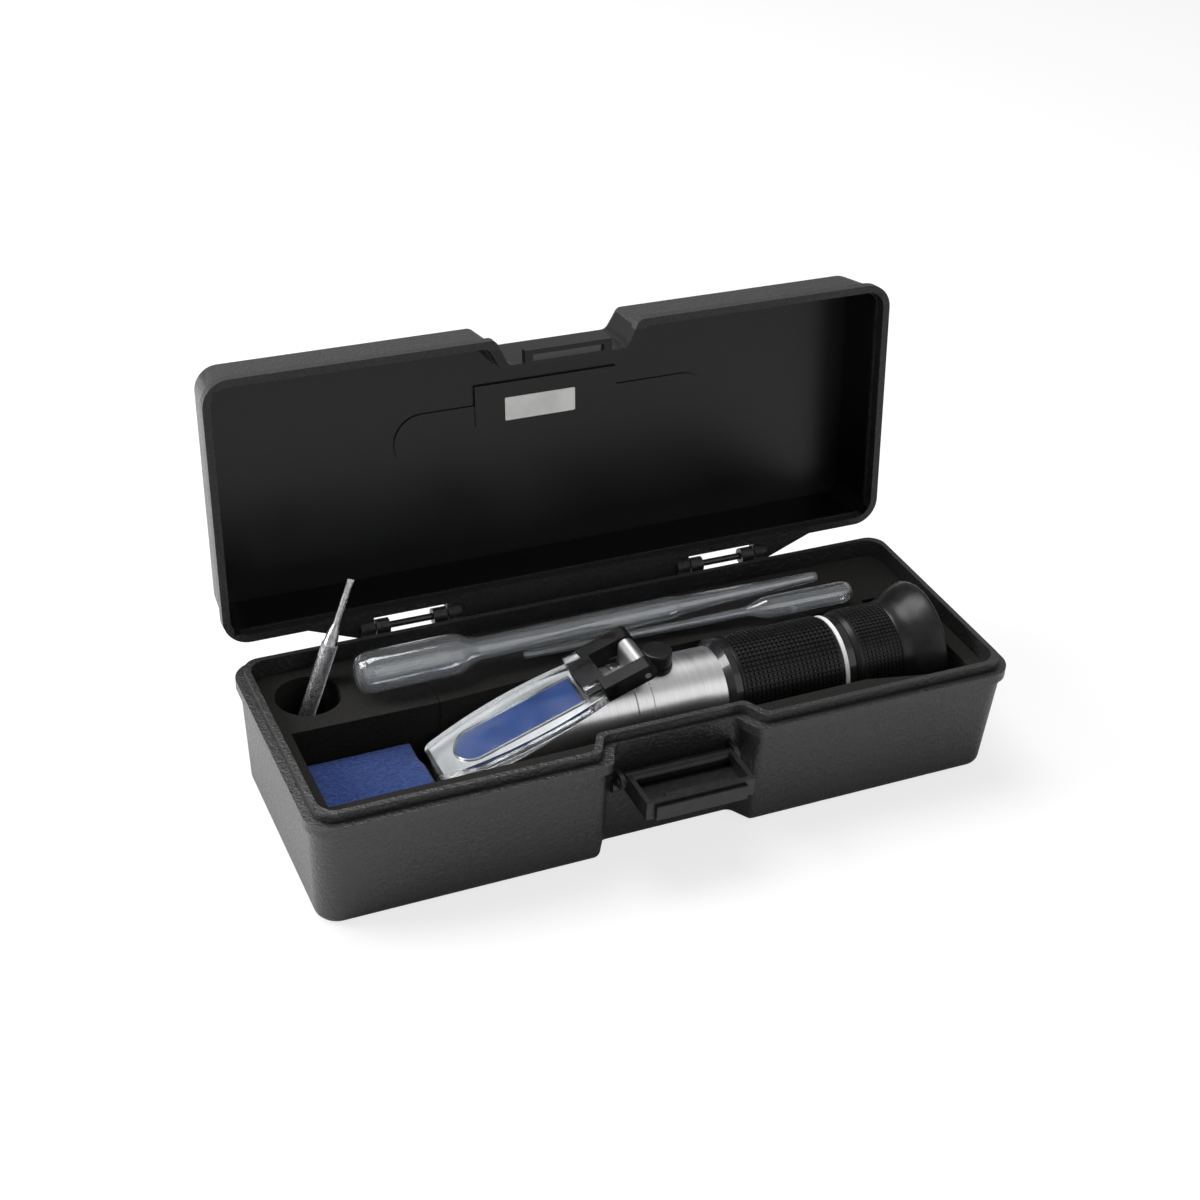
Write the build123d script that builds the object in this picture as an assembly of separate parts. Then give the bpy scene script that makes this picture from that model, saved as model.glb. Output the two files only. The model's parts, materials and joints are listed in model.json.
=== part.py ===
from build123d import *
import os
from math import asin, cos, degrees, radians, sin

# Handheld refractometer kit: the instrument lies in the foam of its hinged case, with two
# pipettes, a screwdriver and a cloth. Millimetres. The origin is the centre of the case's
# underside, +X runs along the case, +Y towards the hinge and +Z up.

# Case, outside
case_length = 205.0
case_width = 76.2
base_height = 34.05
lid_height = 19.75
corner_radius = 7.5
flange_height = 2.9
base_overhang = 1.2
base_draft_x = 1.45
base_draft_y = 1.6
base_edge_radius = 2.5
lid_overhang = 0.8
lid_draft_x = 1.4
lid_draft_y = 1.1
lid_edge_radius = 3.2

# Case, walls and lip
base_wall = 2.0
floor_thickness = 1.8
lid_wall = 1.8
lip_height = 2.63
lip_inset = 2.45
lip_thickness = 1.55
lip_clearance = 0.3

# Recess for the latch in the front of base and lid
recess_y = -30.4
recess_flat = 17.8
recess_mouth = 21.5
recess_bend = 2.2
recess_overhang = 1.0
recess_land = 1.5

# Lid hinge
lid_open_angle = 96.96
hinge_back = 3.46
hinge_rise = 0.82
hinge_pin_radius = 1.0
hinge_pin_length = 29.5
knuckle_radius = 2.3
knuckle_width = 4.0
window_centre = 49.1
window_length = 21.8
window_gap = 0.4
skirt_half_length = 64.5
skirt_half_root = 79.0
skirt_reach = 5.5
running_clearance = 0.05

# Catch bar on the lid
catch_half_length = 13.0
catch_height = 2.35
catch_front_y = -33.9
catch_slot_half = 10.65
catch_slot_front_y = -32.5
catch_slot_back_y = -30.7

# Latch
latch_pivot_y = -33.4
latch_pivot_z = 24.0
latch_open_angle = 90.0
latch_half_width = 15.8
latch_reach = 14.0
latch_skin = 1.4
latch_outer = 3.0
latch_inner = 2.4
latch_barrel_radius = 2.2
latch_pin_radius = 0.9
latch_tab_half = 13.25
latch_tab_reach = 1.1
latch_tab_top = 1.2
latch_tongue_half = 9.5
latch_tongue_depth = 1.2
latch_tongue_thickness = 1.2
latch_lug_gap = 0.4
latch_lug_thickness = 1.3
latch_ledge_radius = 1.9
latch_ledge_drop = 4.4

# Inside of the lid
plateau_length = 98.0
plateau_width = 16.8
plateau_x = 3.0
plateau_y = -4.6
plateau_rise = 0.5
panel_length = 43.7
panel_width = 12.0
panel_x = 0.15
panel_y = -12.8
panel_rise = 0.9
label_length = 21.6
label_width = 6.9
label_x = -1.9
label_y = -10.85
label_thickness = 0.2

# Foam insert
foam_top = 31.5
foam_clearance = 0.2
groove_floor = 12.2
groove_left = -94.5
groove_right = 93.3
groove_front_left_y = -26.2
groove_front_y = -24.8
groove_front_right_y = -24.1
groove_shoulder_x = 62.0
groove_pocket_x = 81.3
groove_pocket_y = -28.2
groove_back_left_y = 6.2
groove_back_y = 8.7
groove_back_right_y = 10.5
groove_bend_left_x = -53.0
groove_bend_x = -16.0
seat_clearance = 0.3
eyecup_travel_room = 1.7
waist_room = 16.9
tool_hole_x = -85.4
tool_hole_y = 21.0
tool_hole_radius = 9.0
tool_hole_floor = 14.0
slit_x = -53.0
slit_width = 0.3
slit_depth = 14.0

# Instrument, along its axis from the prism end to the eyepiece
axis_y = -7.1
axis_z = 26.8
tube_radius = 12.0
head_left = -58.0
head_joint = -4.8
joint_groove = 0.5
joint_groove_depth = 0.45
tube_right = 22.2
tube_bore = 10.4
tube_line_x = 0.2
head_spigot = 5.0
light_bore = 7.8
collar_length = 4.1
collar_radius = 13.8
collar_groove = 0.5
grip_radius = 14.0
grip_right = 58.3
grip_edge = 0.7
white_ring_length = 1.2
white_ring_radius = 13.6
barrel_radius = 12.0
barrel_bore = 9.0
barrel_left = 12.0
band_radius = 12.8
band_length = 2.9
neck_length = 7.0
focus_radius = 14.3
focus_length = 16.1
focus_chamfer = 1.5
focus_bore = 12.9
eyecup_length = 10.5
eyecup_waist = 5.5
eyecup_waist_radius = 17.8
eyecup_rim_radius = 18.5
eyecup_wall = 1.6
eyecup_seat = 2.0

# Optics
lens_tube_left = 57.5
lens_tube_right = 76.5
lens_tube_wall = 0.9
lens_tube_clearance = 0.05
eye_lens_thickness = 4.2
field_lens_thickness = 3.2
lens_bulge = 0.9
lens_stop = 1.0
lens_shelf = 1.0
retainer_length = 1.4
retainer_bore = 6.2
seat_relief = 0.03
cell_x = 4.7
cell_length = 6.0
cell_radius = 8.6
cell_bore = 6.6
cell_spring_thickness = 0.4
objective_thickness = 3.0
reticle_x = 14.4
reticle_thickness = 1.5
reticle_radius = 8.2
reticle_ring_length = 2.2

# Prism and cover plate, in a plane that slopes up towards the eyepiece
slope = 20.15
slope_x = -53.5
slope_top_z = 25.2
plate_thickness = 3.0
plate_gap = 0.1
plate_tip_x = -60.3
plate_end_x = -14.5
plate_tip_half = 6.9
plate_belly_half = 10.7
plate_belly_x = -36.0
plate_neck_half = 9.2
plate_corner = 3.0
window_depth = 1.3
window_margin = 0.5
prism_tip_x = -53.6
prism_end_x = -19.7
prism_half = 5.6
prism_proud = 1.0
prism_depth = 5.2
seal_width = 0.8
seal_depth = 1.0
clamp_thickness = 1.2
shoulder_x = -10.5
ear_x = -18.5
ear_inner = 5.3
ear_outer = 9.2
ear_top = 2.9

# Cover plate hinge
pivot_x = -2.5
pivot_z = 43.6
pivot_radius = 0.9
block_half = 9.9
block_rise = 2.75
block_thickness = 4.9
block_left_x = -18.6
block_wide_x = -14.2
block_gap_x = -12.5
block_right_x = 0.0
block_nose_half = 5.0
arm_inner = 5.3
sleeve_radius = 1.6
bracket_thickness = 0.8
bracket_half = 5.1
bracket_lip = 1.0
bracket_foot = 4.0
bracket_screw_radius = 0.8
bracket_screw_head = 1.3
bracket_screw_rise = 0.5
bracket_screw_length = 3.2
bracket_screw_y = 2.7

# Calibration screw and its cap
cap_x = 4.7
cap_radius = 4.2
cap_height = 5.2
cap_edge = 0.6
cap_flange_radius = 4.45
cap_flange_sink = 0.9
cap_plug_radius = 2.6
cap_plug_length = 1.0
cap_fit = 0.06
screw_radius = 1.5
screw_head_radius = 2.2
screw_head_height = 1.0
screw_well_radius = 2.66
screw_slot_width = 0.5
screw_slot_depth = 0.5

# Pipettes, each from bulb end to tip
large_bulb_end = (-73.2, 17.2, 37.65)
large_tip_end = (68.4, 17.9, 39.05)
large_bulb_radius = 6.05
large_bulb_length = 30.0
large_neck_length = 4.0
large_stem_radius = 3.45
large_stem_length = 60.5
large_taper_radius = 2.95
large_tip_radius = 1.35
small_bulb_end = (76.8, 11.2, 36.1)
small_tip_end = (-24.2, 17.5, 32.65)
small_bulb_radius = 3.55
small_bulb_length = 29.0
small_neck_length = 4.5
small_stem_radius = 1.5
small_tip_radius = 1.0
pipette_wall = 0.6

# Screwdriver, leaning in the tool hole
driver_top = (-69.9, 30.0, 60.2)
driver_rim = (-81.5, 25.7, 31.5)
driver_length = 52.0
driver_handle_radius = 2.4
driver_shaft_radius = 0.9
driver_cone_start = 28.6
driver_cone_end = 35.4
driver_socket = 9.0
driver_blade_width = 1.9
driver_blade_thickness = 0.5
driver_blade_length = 4.0
driver_travel = 10.0
driver_bore_clearance = 0.3

# Folded cloth
cloth_left = -93.2
cloth_right = -61.0
cloth_front = -25.4
cloth_back = 5.4
cloth_top = 23.4
cloth_edge = 4.0

lid_top = base_height + lid_height
hinge_y = case_width / 2 + hinge_back
hinge_z = base_height + hinge_rise
lid_hinge_axis = Axis((0, hinge_y, hinge_z), (1, 0, 0))
latch_axis = Axis((0, latch_pivot_y, latch_pivot_z), (1, 0, 0))
optical_axis = Axis((0, axis_y, axis_z), (1, 0, 0))
collar_right = tube_right + collar_length
band_left = grip_right + white_ring_length
focus_left = band_left + band_length
focus_right = focus_left + focus_length
slope_plane = Plane(
    origin=(slope_x, axis_y, slope_top_z),
    x_dir=(cos(radians(slope)), 0, sin(radians(slope))),
    z_dir=(-sin(radians(slope)), 0, cos(radians(slope))),
)
head_face = plate_thickness + plate_gap


# General helpers
def box(low, high):
    """Box between two opposite corners."""
    size = [b - a for a, b in zip(low, high)]
    centre = [(a + b) / 2 for a, b in zip(low, high)]
    return Pos(*centre) * Box(*size)


def rod(start, end, radius):
    """Round bar from one point to another."""
    start = Vector(*start)
    way = Vector(*end) - start
    return Plane(origin=start, z_dir=way) * Cylinder(
        radius, way.length, align=(Align.CENTER, Align.CENTER, Align.MIN)
    )


def bar_x(x_low, x_high, y, z, radius):
    """Round bar along X."""
    return rod((x_low, y, z), (x_high, y, z), radius)


def turned(*points):
    """Solid turned about the optical axis from (x, radius) points."""
    corners = [(x, axis_y, axis_z + r) for x, r in points]
    return revolve(make_face(Polyline(*corners, close=True)), axis=optical_axis)


def tube(x_low, x_high, outer, inner):
    """Plain ring about the optical axis."""
    return turned((x_low, inner), (x_high, inner), (x_high, outer), (x_low, outer))


def disc(x_low, x_high, radius):
    """Plain disc about the optical axis."""
    return turned((x_low, 0), (x_high, 0), (x_high, radius), (x_low, radius))


def lens(x_low, thickness, radius, bulge):
    """Biconvex lens about the optical axis, with a flat rim."""
    ball = (radius**2 + bulge**2) / (2 * bulge)
    half_angle = asin(radius / ball) / 2
    sag = ball * (1 - cos(half_angle))
    middle = axis_z + ball * sin(half_angle)
    x_high = x_low + thickness
    rim_low = (x_low + bulge, axis_y, axis_z + radius)
    rim_high = (x_high - bulge, axis_y, axis_z + radius)
    edges = [
        ThreePointArc((x_low, axis_y, axis_z), (x_low + sag, axis_y, middle), rim_low),
        Line(rim_low, rim_high),
        ThreePointArc(
            rim_high, (x_high - sag, axis_y, middle), (x_high, axis_y, axis_z)
        ),
        Line((x_high, axis_y, axis_z), (x_low, axis_y, axis_z)),
    ]
    return revolve(make_face(edges), axis=optical_axis)


def along_slope(x):
    """Distance along the slope to the place above x, from the slope's own origin."""
    return (x - slope_x) / cos(radians(slope))


# Case
def outline(inset_x, inset_y, recess, widen, corner):
    """Plan of the case: a rounded rectangle with the latch recess in its front."""
    half_x = case_length / 2 - inset_x
    half_y = case_width / 2 - inset_y
    mouth = recess_mouth + widen
    flat = recess_flat + widen
    points = [
        (-half_x, -half_y),
        (-mouth, -half_y),
        (-flat, recess),
        (flat, recess),
        (mouth, -half_y),
        (half_x, -half_y),
        (half_x, half_y),
        (-half_x, half_y),
    ]
    plan = make_face(Polyline(*points, close=True))
    outer = [v for v in plan.vertices() if abs(v.X) > half_x - 0.01]
    plan = fillet(outer, corner)
    inner = [v for v in plan.vertices() if abs(v.X) < mouth + 0.01]
    return fillet(inner, recess_bend)


def between(low_plan, z_low, high_plan, z_high):
    """Drafted block between two plans of the case."""
    return loft([Pos(0, 0, z_low) * low_plan, Pos(0, 0, z_high) * high_plan], ruled=True)


base_recess_y = recess_y + recess_overhang
lip_recess_y = recess_y + recess_land
cavity_inset = lip_inset + lip_thickness
cavity_recess_y = lip_recess_y + lip_thickness


def cavity(shrink, z_low, z_high):
    """Inside of the base, or with a shrink a body that fits in it."""
    rise = base_height + lip_height - floor_thickness
    foot_x = base_overhang + base_draft_x + base_wall
    foot_y = base_overhang + base_draft_y + base_wall

    def plan(z):
        share = (z - floor_thickness) / rise
        inset_x = foot_x + (cavity_inset - foot_x) * share
        inset_y = foot_y + (cavity_inset - foot_y) * share
        return outline(
            inset_x + shrink,
            inset_y + shrink,
            cavity_recess_y + shrink,
            cavity_inset + shrink,
            corner_radius - lip_inset,
        )

    return between(plan(z_low), z_low, plan(z_high), z_high)


def case_base():
    """Base tray with its rim, lip, latch lugs and hinge knuckles."""
    band_z = base_height - flange_height
    foot = outline(
        base_overhang + base_draft_x,
        base_overhang + base_draft_y,
        base_recess_y,
        base_overhang,
        corner_radius - base_overhang,
    )
    brow = outline(
        base_overhang,
        base_overhang,
        base_recess_y,
        base_overhang,
        corner_radius - base_overhang,
    )
    body = between(foot, 0, brow, band_z)
    body = fillet(body.edges().group_by(Axis.Z)[0], base_edge_radius)
    rim = outline(0, 0, recess_y, 0, corner_radius)
    body += extrude(Pos(0, 0, band_z) * rim, flange_height)
    lip = outline(
        lip_inset, lip_inset, lip_recess_y, lip_inset, corner_radius - lip_inset
    )
    body += extrude(Pos(0, 0, base_height) * lip, lip_height)
    body -= cavity(0, floor_thickness, base_height + lip_height)
    for side in (-1, 1):
        body += base_knuckles(side)
        body += latch_lug(side)
    ledge_z = latch_pivot_z - latch_ledge_drop
    body += bar_x(
        -recess_flat, recess_flat, base_recess_y, ledge_z, latch_ledge_radius
    ) - cavity(-lip_clearance, floor_thickness, base_height)
    return body


def base_knuckles(side):
    """Two knuckles of the base in one window of the lid's skirt."""
    knuckles = Part()
    for end in (-1, 1):
        far = window_length / 2 - window_gap
        near = far - knuckle_width
        x = side * window_centre + end * (near + far) / 2
        low = x - knuckle_width / 2
        high = x + knuckle_width / 2
        arm_root = case_width / 2 - base_overhang
        arm_low = hinge_z - knuckle_radius
        knuckle = bar_x(low, high, hinge_y, hinge_z, knuckle_radius)
        knuckle += box((low, arm_root, arm_low), (high, hinge_y, base_height))
        knuckle -= bar_x(
            low, high, hinge_y, hinge_z, hinge_pin_radius + running_clearance
        )
        knuckles += knuckle
    return knuckles


def latch_lug(side):
    """Lug in the recess that holds one end of the latch pin."""
    near = latch_half_width + latch_lug_gap
    far = near + latch_lug_thickness
    low, high = sorted((side * near, side * far))
    lug = bar_x(low, high, latch_pivot_y, latch_pivot_z, latch_barrel_radius)
    lug += box(
        (low, latch_pivot_y, latch_pivot_z - latch_barrel_radius),
        (high, base_recess_y + base_wall / 2, latch_pivot_z + latch_barrel_radius),
    )
    return lug - bar_x(low, high, latch_pivot_y, latch_pivot_z, latch_pin_radius)


def opened(part):
    """Turns a piece of the closed lid into its open place."""
    return part.rotate(lid_hinge_axis, -lid_open_angle)


def case_lid():
    """Lid with its rim pocket, hinge skirt, catch bar and raised inner panels."""
    band_top = base_height + flange_height
    rim = outline(0, 0, recess_y, 0, corner_radius)
    body = extrude(Pos(0, 0, base_height) * rim, flange_height)
    brow = outline(
        lid_overhang, lid_overhang, recess_y, lid_overhang, corner_radius - lid_overhang
    )
    crown = outline(
        lid_overhang + lid_draft_x,
        lid_overhang + lid_draft_y,
        recess_y,
        lid_overhang,
        corner_radius - lid_overhang,
    )
    dome = between(brow, band_top, crown, lid_top)
    dome = fillet(dome.edges().group_by(Axis.Z)[-1], lid_edge_radius)
    body += dome
    body -= lid_cavity()
    body += lid_skirt()
    body += catch_bar()
    body += ceiling_panels()
    return opened(body)


def lid_cavity():
    """Inside of the closed lid: a pocket for the base's lip, and the hollow above it."""
    pocket_inset = lip_inset - lip_clearance
    wall_y = lip_recess_y - lip_clearance
    pocket = outline(
        pocket_inset, pocket_inset, wall_y, pocket_inset, corner_radius - pocket_inset
    )
    pocket_top = base_height + lip_height + lip_clearance
    low = outline(
        lid_overhang + lid_wall,
        lid_overhang + lid_wall,
        wall_y,
        lid_overhang + lid_wall,
        corner_radius - lid_overhang - lid_wall,
    )
    high = outline(
        lid_overhang + lid_draft_x + lid_wall,
        lid_overhang + lid_draft_y + lid_wall,
        wall_y,
        lid_overhang + lid_wall,
        corner_radius - lid_overhang - lid_wall,
    )
    hollow = between(low, base_height, high, lid_top - lid_wall)
    return hollow + extrude(Pos(0, 0, base_height) * pocket, pocket_top - base_height)


def lid_skirt():
    """Hinge skirt behind the closed lid, with windows for the base's knuckles."""
    back = case_width / 2
    root = back - lid_wall / 2
    points = [
        (-skirt_half_root, root),
        (-skirt_half_root, back),
        (-skirt_half_length, back + skirt_reach),
        (skirt_half_length, back + skirt_reach),
        (skirt_half_root, back),
        (skirt_half_root, root),
    ]
    plan = make_face(Polyline(*points, close=True))
    skirt = extrude(Pos(0, 0, base_height) * plan, flange_height)
    half_window = window_length / 2
    for side in (-1, 1):
        for end in (-1, 1):
            low, high = sorted(
                (
                    side * window_centre + end * half_window,
                    side * window_centre + end * (half_window + knuckle_width),
                )
            )
            skirt += bar_x(low, high, hinge_y, hinge_z, knuckle_radius)
        low = side * window_centre - half_window
        high = side * window_centre + half_window
        skirt -= box(
            (low, back, base_height - knuckle_radius),
            (high, back + 2 * skirt_reach, base_height + 2 * flange_height),
        )
        skirt -= hinge_pin(side)
    return skirt


def hinge_pin(side):
    """Steel hinge pin, held in the lid's skirt."""
    centre = side * window_centre
    half = hinge_pin_length / 2
    return bar_x(centre - half, centre + half, hinge_y, hinge_z, hinge_pin_radius)


def catch_bar():
    """Bar with a slot on the lid's front, over which the latch's tongue snaps."""
    wall_y = recess_y + (lip_recess_y - lip_clearance - recess_y) / 2
    bar = box(
        (-catch_half_length, catch_front_y, base_height),
        (catch_half_length, wall_y, base_height + catch_height),
    )
    slot = box(
        (-catch_slot_half, catch_slot_front_y, base_height),
        (catch_slot_half, catch_slot_back_y, base_height + catch_height),
    )
    return bar - slot


def ceiling_panels():
    """Raised stadium and panel on the lid's ceiling."""
    ceiling = lid_top - lid_wall
    stadium = SlotOverall(plateau_length, plateau_width)
    panels = extrude(Pos(plateau_x, plateau_y, ceiling) * stadium, -plateau_rise)
    panel = Pos(panel_x, panel_y, ceiling) * Rectangle(panel_length, panel_width)
    return panels + extrude(panel, -panel_rise)


def lid_label():
    """Blank label on the raised panel inside the lid."""
    face = lid_top - lid_wall - panel_rise
    sheet = Pos(label_x, label_y, face) * RectangleRounded(
        label_length, label_width, label_thickness * 2
    )
    return opened(extrude(sheet, -label_thickness))


def case_latch():
    """Latch: a shallow tray with a barrel, a hooked end and a finger tab."""
    foot_z = latch_pivot_z - latch_barrel_radius
    top_z = latch_pivot_z + latch_reach
    outer_y = latch_pivot_y - latch_outer
    inner_y = latch_pivot_y + latch_inner
    side_start = latch_pivot_z + latch_barrel_radius * 0.6
    half = latch_half_width
    body = box((-half, outer_y, foot_z), (half, outer_y + latch_skin, top_z))
    body += box((-half, outer_y, top_z - latch_skin), (half, inner_y, top_z))
    for side in (-1, 1):
        low, high = sorted((side * half, side * (half - latch_skin)))
        cheek = box((low, outer_y, foot_z), (high, latch_pivot_y, top_z))
        cheek += box((low, outer_y, side_start), (high, inner_y, top_z))
        body += cheek
    body += bar_x(-half, half, latch_pivot_y, latch_pivot_z, latch_barrel_radius)
    body += box(
        (-half, outer_y, foot_z), (half, latch_pivot_y, latch_pivot_z)
    )
    tongue_y = inner_y - latch_tongue_thickness
    body += box(
        (-latch_tongue_half, tongue_y, top_z - latch_skin - latch_tongue_depth),
        (latch_tongue_half, inner_y, top_z),
    )
    tab_y = latch_pivot_y + latch_tab_top
    body += box(
        (-latch_tab_half, outer_y, top_z), (latch_tab_half, tab_y, top_z + latch_tab_reach)
    )
    body -= bar_x(
        -half,
        half,
        latch_pivot_y,
        latch_pivot_z,
        latch_pin_radius + running_clearance,
    )
    return body.rotate(latch_axis, latch_open_angle)


def latch_pin():
    """Pin of the latch, held in the two lugs of the base."""
    half = latch_half_width + latch_lug_gap + latch_lug_thickness
    return bar_x(-half, half, latch_pivot_y, latch_pivot_z, latch_pin_radius)


# Foam insert
def groove():
    """Long groove for the instrument, wider at the eyepiece."""
    points = [
        (groove_left, groove_front_left_y),
        (0, groove_front_y),
        (groove_shoulder_x, groove_front_right_y),
        (groove_pocket_x, groove_pocket_y),
        (groove_right, groove_pocket_y),
        (groove_right, groove_back_right_y),
        (groove_bend_x, groove_back_y),
        (groove_bend_left_x, groove_back_left_y),
        (groove_left, groove_back_left_y),
    ]
    plan = make_face(Polyline(*points, close=True))
    trench = extrude(Pos(0, 0, groove_floor) * plan, foam_top - groove_floor)
    rim_room = eyecup_rim_radius + seat_clearance
    trench += seat(groove_pocket_x, groove_right, rim_room)
    return trench + seat(focus_right - eyecup_travel_room, groove_pocket_x, waist_room)


def seat(x_low, x_high, radius):
    """Round-bottomed seat under the optical axis, open to the top of the foam."""
    back = axis_y + radius
    front = axis_y - radius
    edges = [
        Line((x_low, front, foam_top), (x_low, front, axis_z)),
        ThreePointArc(
            (x_low, front, axis_z), (x_low, axis_y, axis_z - radius), (x_low, back, axis_z)
        ),
        Line((x_low, back, axis_z), (x_low, back, foam_top)),
        Line((x_low, back, foam_top), (x_low, front, foam_top)),
    ]
    return extrude(make_face(edges), x_high - x_low, dir=(1, 0, 0))


def driver_way():
    """Unit vector along the screwdriver, from its foot to its blade."""
    return (Vector(*driver_top) - Vector(*driver_rim)).normalized()


def driver_point(distance):
    """Point on the screwdriver's axis at a distance down from the tip of its blade."""
    return Vector(*driver_top) - driver_way() * distance


def foam_insert():
    """Foam block with the groove, the tool hole and a knife slit across its back."""
    body = cavity(foam_clearance, floor_thickness, foam_top)
    body -= groove()
    depth = foam_top - tool_hole_floor
    body -= Pos(tool_hole_x, tool_hole_y, tool_hole_floor + depth / 2) * Cylinder(
        tool_hole_radius, depth
    )
    bore = driver_handle_radius + driver_bore_clearance
    low_end = driver_point(driver_length + driver_travel + 5 * driver_bore_clearance)
    body -= rod(low_end, driver_point(driver_length - bore), bore)
    body -= box(
        (slit_x - slit_width / 2, groove_back_left_y - 1, foam_top - slit_depth),
        (slit_x + slit_width / 2, case_width / 2, foam_top),
    )
    return body


# Prism head
def on_slope(sketch, height):
    """Lays a flat sketch on the slope, at a height above the cover plate's top."""
    return slope_plane * Pos(0, 0, height) * sketch


def window_sketch(margin):
    """Window of the prism: straight at the eyepiece end, round at the tip."""
    left = along_slope(prism_tip_x) - margin
    right = along_slope(prism_end_x) + margin
    half = prism_half + margin
    points = [(left + half, -half), (right, -half), (right, half), (left + half, half)]
    edges = [
        Line(points[0], points[1]),
        Line(points[1], points[2]),
        Line(points[2], points[3]),
        ThreePointArc(points[3], (left, 0), points[0]),
    ]
    return make_face(edges)


def prism_head():
    """Metal head with the sloping face, prism pocket, spigot and groove at the joint."""
    head = turned(
        (head_left, 0),
        (head_left, tube_radius),
        (head_joint - joint_groove / 2, tube_radius),
        (head_joint - joint_groove / 2, tube_radius - joint_groove_depth),
        (head_joint, tube_radius - joint_groove_depth),
        (head_joint, tube_bore),
        (head_joint + head_spigot, tube_bore),
        (head_joint + head_spigot, 0),
    )
    length = along_slope(shoulder_x) - along_slope(head_left) + 40
    centre = along_slope(shoulder_x) - length / 2
    cut = extrude(
        on_slope(Pos(centre, 0) * Rectangle(length, 4 * tube_radius), -head_face),
        2 * tube_radius,
    )
    cut &= box(
        (head_left - tube_radius, axis_y - 2 * tube_radius, 0),
        (shoulder_x, axis_y + 2 * tube_radius, 2 * axis_z),
    )
    head -= cut
    head -= extrude(on_slope(window_sketch(seal_width), -head_face), -seal_depth)
    head -= extrude(
        on_slope(window_sketch(0), -head_face), -(prism_depth + clamp_thickness)
    )
    light_left = prism_end_x - prism_half
    head -= disc(light_left, head_joint + head_spigot, light_bore)
    for side in (-1, 1):
        head -= bracket_screw(side)
    return head


def main_prism():
    """Measuring prism, its face a little proud of the head's sloping face."""
    face = on_slope(window_sketch(0), prism_proud - head_face)
    return extrude(face, -(prism_proud + prism_depth))


def prism_seal():
    """Sealing bead in the step round the prism."""
    ring = window_sketch(seal_width) - window_sketch(0)
    return extrude(on_slope(ring, -head_face), -seal_depth)


def prism_clamp():
    """Plate under the prism that holds it up against its seal."""
    left = along_slope(prism_tip_x) + prism_half
    right = along_slope(prism_end_x) - 2 * prism_half
    half = prism_half - window_margin
    sheet = Pos((left + right) / 2, 0) * Rectangle(right - left, 2 * half)
    return extrude(on_slope(sheet, -head_face - prism_depth), -clamp_thickness)


def body_tube():
    """Bright tube behind the head, with the well of the calibration screw."""
    start = head_joint
    groove_end = start + joint_groove / 2
    groove_radius = tube_radius - joint_groove_depth
    line = 0.12
    wall = turned(
        (start, tube_bore),
        (start, groove_radius),
        (groove_end, groove_radius),
        (groove_end, tube_radius),
        (tube_line_x - line, tube_radius),
        (tube_line_x, tube_radius - line),
        (tube_line_x + line, tube_radius),
        (tube_right, tube_radius),
        (tube_right, tube_bore),
    )
    top = axis_z + 2 * tube_radius
    wall -= rod((cap_x, axis_y, axis_z), (cap_x, axis_y, top), screw_radius)
    well_floor = cap_seat_z() - cap_plug_length - screw_head_height
    wall -= rod((cap_x, axis_y, well_floor), (cap_x, axis_y, top), screw_well_radius)
    return wall


def cap_seat_z():
    """Height where the cap's flange meets the flat spot on the tube."""
    return axis_z + tube_radius - 0.15


def calibration_screw():
    """Slotted screw in the tube's well that moves the lens cell."""
    head_top = cap_seat_z() - cap_plug_length
    head_low = head_top - screw_head_height
    tip = axis_z + cell_radius + 0.05
    screw = rod((cap_x, axis_y, head_low), (cap_x, axis_y, head_top), screw_head_radius)
    screw += rod(
        (cap_x, axis_y, tip), (cap_x, axis_y, head_low), screw_radius - running_clearance
    )
    return screw - box(
        (cap_x - screw_slot_width / 2, axis_y - screw_head_radius, head_top - screw_slot_depth),
        (cap_x + screw_slot_width / 2, axis_y + screw_head_radius, head_top),
    )


def calibration_cap():
    """Soft cap over the calibration screw, its flange curved to the tube."""
    seat = cap_seat_z()
    low = axis_z + tube_radius - cap_flange_sink
    top = axis_z + tube_radius + cap_height
    cap = rod((cap_x, axis_y, low), (cap_x, axis_y, top), cap_radius)
    cap = fillet(cap.edges().group_by(Axis.Z)[-1], cap_edge)
    cap += rod(
        (cap_x, axis_y, low), (cap_x, axis_y, seat + cap_flange_sink), cap_flange_radius
    )
    cap -= disc(
        cap_x - 2 * cap_flange_radius, cap_x + 2 * cap_flange_radius, tube_radius + cap_fit
    )
    plug_low = seat - cap_plug_length + cap_fit
    return cap + rod((cap_x, axis_y, plug_low), (cap_x, axis_y, top - cap_edge), cap_plug_radius)


def lens_cell():
    """Cell of the objective, moved across the tube by the calibration screw."""
    half = cell_length / 2
    shelf = cell_bore - lens_shelf
    return turned(
        (cell_x - half, shelf),
        (cell_x - half, cell_radius),
        (cell_x + half, cell_radius),
        (cell_x + half, cell_bore),
        (cell_x - half + lens_stop, cell_bore),
        (cell_x - half + lens_stop, shelf),
    )


def objective_lens():
    """Objective that throws the shadow line on the reticle."""
    return lens(
        cell_x - cell_length / 2 + lens_stop, objective_thickness, cell_bore, lens_bulge / 2
    )


def cell_spring():
    """Leaf spring under the lens cell, bent to the tube's bore."""
    half = cell_length / 2
    leaf = tube(
        cell_x - half, cell_x + half, tube_bore, tube_bore - cell_spring_thickness
    )
    leaf &= box(
        (cell_x - half, axis_y - cell_radius / 2, axis_z - tube_radius),
        (cell_x + half, axis_y + cell_radius / 2, axis_z),
    )
    pad = box(
        (cell_x - half / 2, axis_y - 1, axis_z - tube_bore + cell_spring_thickness / 2),
        (cell_x + half / 2, axis_y + 1, axis_z - cell_radius),
    )
    return leaf + (pad - disc(cell_x - half, cell_x + half, cell_radius))


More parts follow.
